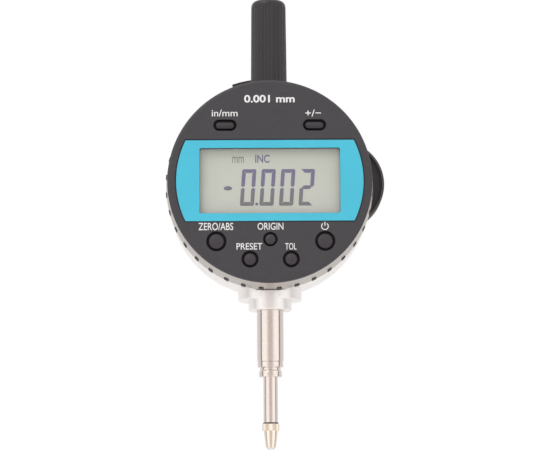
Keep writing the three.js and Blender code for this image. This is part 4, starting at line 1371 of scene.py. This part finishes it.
def data_port_cover():
    """The flap over the port, with its plug, and a skirt that hangs down in front of the housing."""
    start, end = PORT_ANGLES
    front, back = PORT_DEPTHS
    flap_r = PORT_HOUSING_R + 0.1
    plug_r = (flap_r + PORT_COVER_R) / 2
    flap = Shell()
    turn = 0.1 / PORT_HOUSING_R
    flap.plate(sector(flap_r, PORT_COVER_R, start + turn, end - turn), front + 0.1, back - 0.1, edge=0.12)
    made = object_of(flap, "tool")
    plug = Shell()
    inset = PORT_WALL + PORT_PLUG_GAP
    turn = inset / PORT_HOUSING_R
    shape = sector(PORT_SOCKET_TOP_R + 0.3, plug_r, start + turn, end - turn)
    plug.plate(shape, front + PORT_WALL + PORT_PLUG_GAP, back - PORT_WALL - PORT_PLUG_GAP, edge=0.1)
    carve(made, object_of(plug, "tool"), "UNION")
    skirt = Shell()
    skirt_front = front - PORT_SKIRT_THICK
    skirt.plate(sector(PORT_SKIRT_R, plug_r, start, end), skirt_front, front - 0.05, edge=0.1)
    bridge = Shell()
    shape = sector(flap_r, PORT_COVER_R - 0.05, start, end)
    bridge.plate(shape, skirt_front + 0.05, front + PORT_SKIRT_THICK, edge=0.05)
    carve(made, object_of(skirt, "tool"), "UNION")
    carve(made, object_of(bridge, "tool"), "UNION")
    stand_for("data_port_cover", made, "data_port_cover", "cap_rubber")


# ---------------------------------------------------------------- surroundings


def camera():
    data = bpy.data.cameras.new("camera")
    data.sensor_width = 36.0
    data.lens = CAMERA_LENS
    data.clip_start = 0.01
    data.clip_end = 20.0
    seen_from = bpy.data.objects.new("camera", data)
    bpy.context.scene.collection.objects.link(seen_from)
    azimuth, elevation, roll = (math.radians(angle) for angle in CAMERA_ANGLES)
    back = Vector(
        (
            math.sin(azimuth) * math.cos(elevation),
            -math.cos(azimuth) * math.cos(elevation),
            math.sin(elevation),
        )
    )
    right = Vector((math.cos(azimuth), math.sin(azimuth), 0))
    up = back.cross(right)
    tilted_right = right * math.cos(roll) + up * math.sin(roll)
    tilted_up = up * math.cos(roll) - right * math.sin(roll)
    place = Vector(CAMERA_AIM) + back * CAMERA_DISTANCE
    turn = Matrix((tilted_right, tilted_up, back)).transposed().to_4x4()
    seen_from.matrix_world = Matrix.Translation(place * MM) @ turn
    bpy.context.scene.camera = seen_from


def studio():
    """Soft light from all round, brighter in two upright strips beside the camera, with white behind."""
    world = bpy.data.worlds.new("studio")
    bpy.context.scene.world = world
    world.use_nodes = True
    nodes, links = world.node_tree.nodes, world.node_tree.links
    background = nodes["Background"]
    split = nodes.new("ShaderNodeSeparateXYZ")
    links.new(nodes.new("ShaderNodeTexCoord").outputs["Generated"], split.inputs["Vector"])

    def maths(operation, first, second=None):
        node = nodes.new("ShaderNodeMath")
        node.operation = operation
        for socket, value in zip(node.inputs, (first, second)):
            if value is None:
                continue
            if isinstance(value, float):
                socket.default_value = value
            else:
                links.new(value, socket)
        return node.outputs[0]

    side = maths("ABSOLUTE", split.outputs["X"])
    ahead = maths("MULTIPLY", split.outputs["Y"], -1.0)
    turn = maths("DIVIDE", maths("ARCTAN2", side, ahead), math.pi)
    ramp = nodes.new("ShaderNodeValToRGB")
    fill_ramp(ramp.color_ramp.elements, [(angle / 180, (*colour, 1)) for angle, colour in STUDIO_RAMP])
    links.new(turn, ramp.inputs["Fac"])
    height = maths("ABSOLUTE", split.outputs["Z"])
    blend = nodes.new("ShaderNodeMix")
    blend.data_type = "RGBA"
    sockets = [socket for socket in blend.inputs if socket.type == "RGBA"]
    steep = nodes.new("ShaderNodeMapRange")
    steep.inputs["From Min"].default_value = 0.45
    steep.inputs["From Max"].default_value = 0.8
    links.new(height, steep.inputs["Value"])
    links.new(steep.outputs["Result"], blend.inputs["Factor"])
    links.new(ramp.outputs["Color"], sockets[0])
    sockets[1].default_value = (*STUDIO_ABOVE, 1)
    seen = nodes.new("ShaderNodeLightPath")
    final = nodes.new("ShaderNodeMix")
    final.data_type = "RGBA"
    sockets = [socket for socket in final.inputs if socket.type == "RGBA"]
    links.new(seen.outputs["Is Camera Ray"], final.inputs["Factor"])
    links.new(next(s for s in blend.outputs if s.type == "RGBA"), sockets[0])
    sockets[1].default_value = (1, 1, 1, 1)
    links.new(next(s for s in final.outputs if s.type == "RGBA"), background.inputs["Color"])
    background.inputs["Strength"].default_value = 1.0


def key_light():
    data = bpy.data.lights.new("key", "AREA")
    data.shape = "RECTANGLE"
    data.size = 0.5
    data.size_y = 0.4
    data.energy = KEY_POWER
    lamp = bpy.data.objects.new("key", data)
    bpy.context.scene.collection.objects.link(lamp)
    lamp.location = Vector(KEY_AT) * MM
    lamp.rotation_mode = "QUATERNION"
    lamp.rotation_quaternion = (lamp.location - HEAD * MM).to_track_quat("Z", "Y")


def floor():
    shell = Shell()
    reach, bottom = FLOOR_REACH, FLOOR_Z - FLOOR_THICK
    corners = [(-reach, bottom), (reach, bottom), (reach, FLOOR_Z), (-reach, FLOOR_Z)]
    polygon_plate(shell, corners, -reach, 2 * reach)
    made = object_of(shell, "floor")
    made.data.materials.append(MATERIALS["floor"])
    made.visible_glossy = False


def dress_frame():
    """Gives every CAD node that still shows the finish of its slot."""
    for node, piece in frame["nodes"].items():
        if not piece.hide_render:
            piece.data.materials.clear()
            piece.data.materials.append(MATERIALS[SLOT_OF[node]])


# ---------------------------------------------------------------- the scene


make_finishes()
face_cover()
face_panel()
window_lens()
lcd_glass()
lcd_digits()
labels()
bezel_ring()
grip_ring()
for button_node, button_body in BUTTON_BODIES.items():
    button(button_node, button_body)
case_shell()
stem()
lower_bush()
upper_bush()
back_cover()
back_screws()
spindle_rod()
contact_point()
point_shade_ring()
contact_ball()
battery_tray()
coin_cell()
dust_cap()
data_port_cover()
dress_frame()
floor()
studio()
key_light()
camera()
bpy.context.scene.view_settings.view_transform = "Standard"
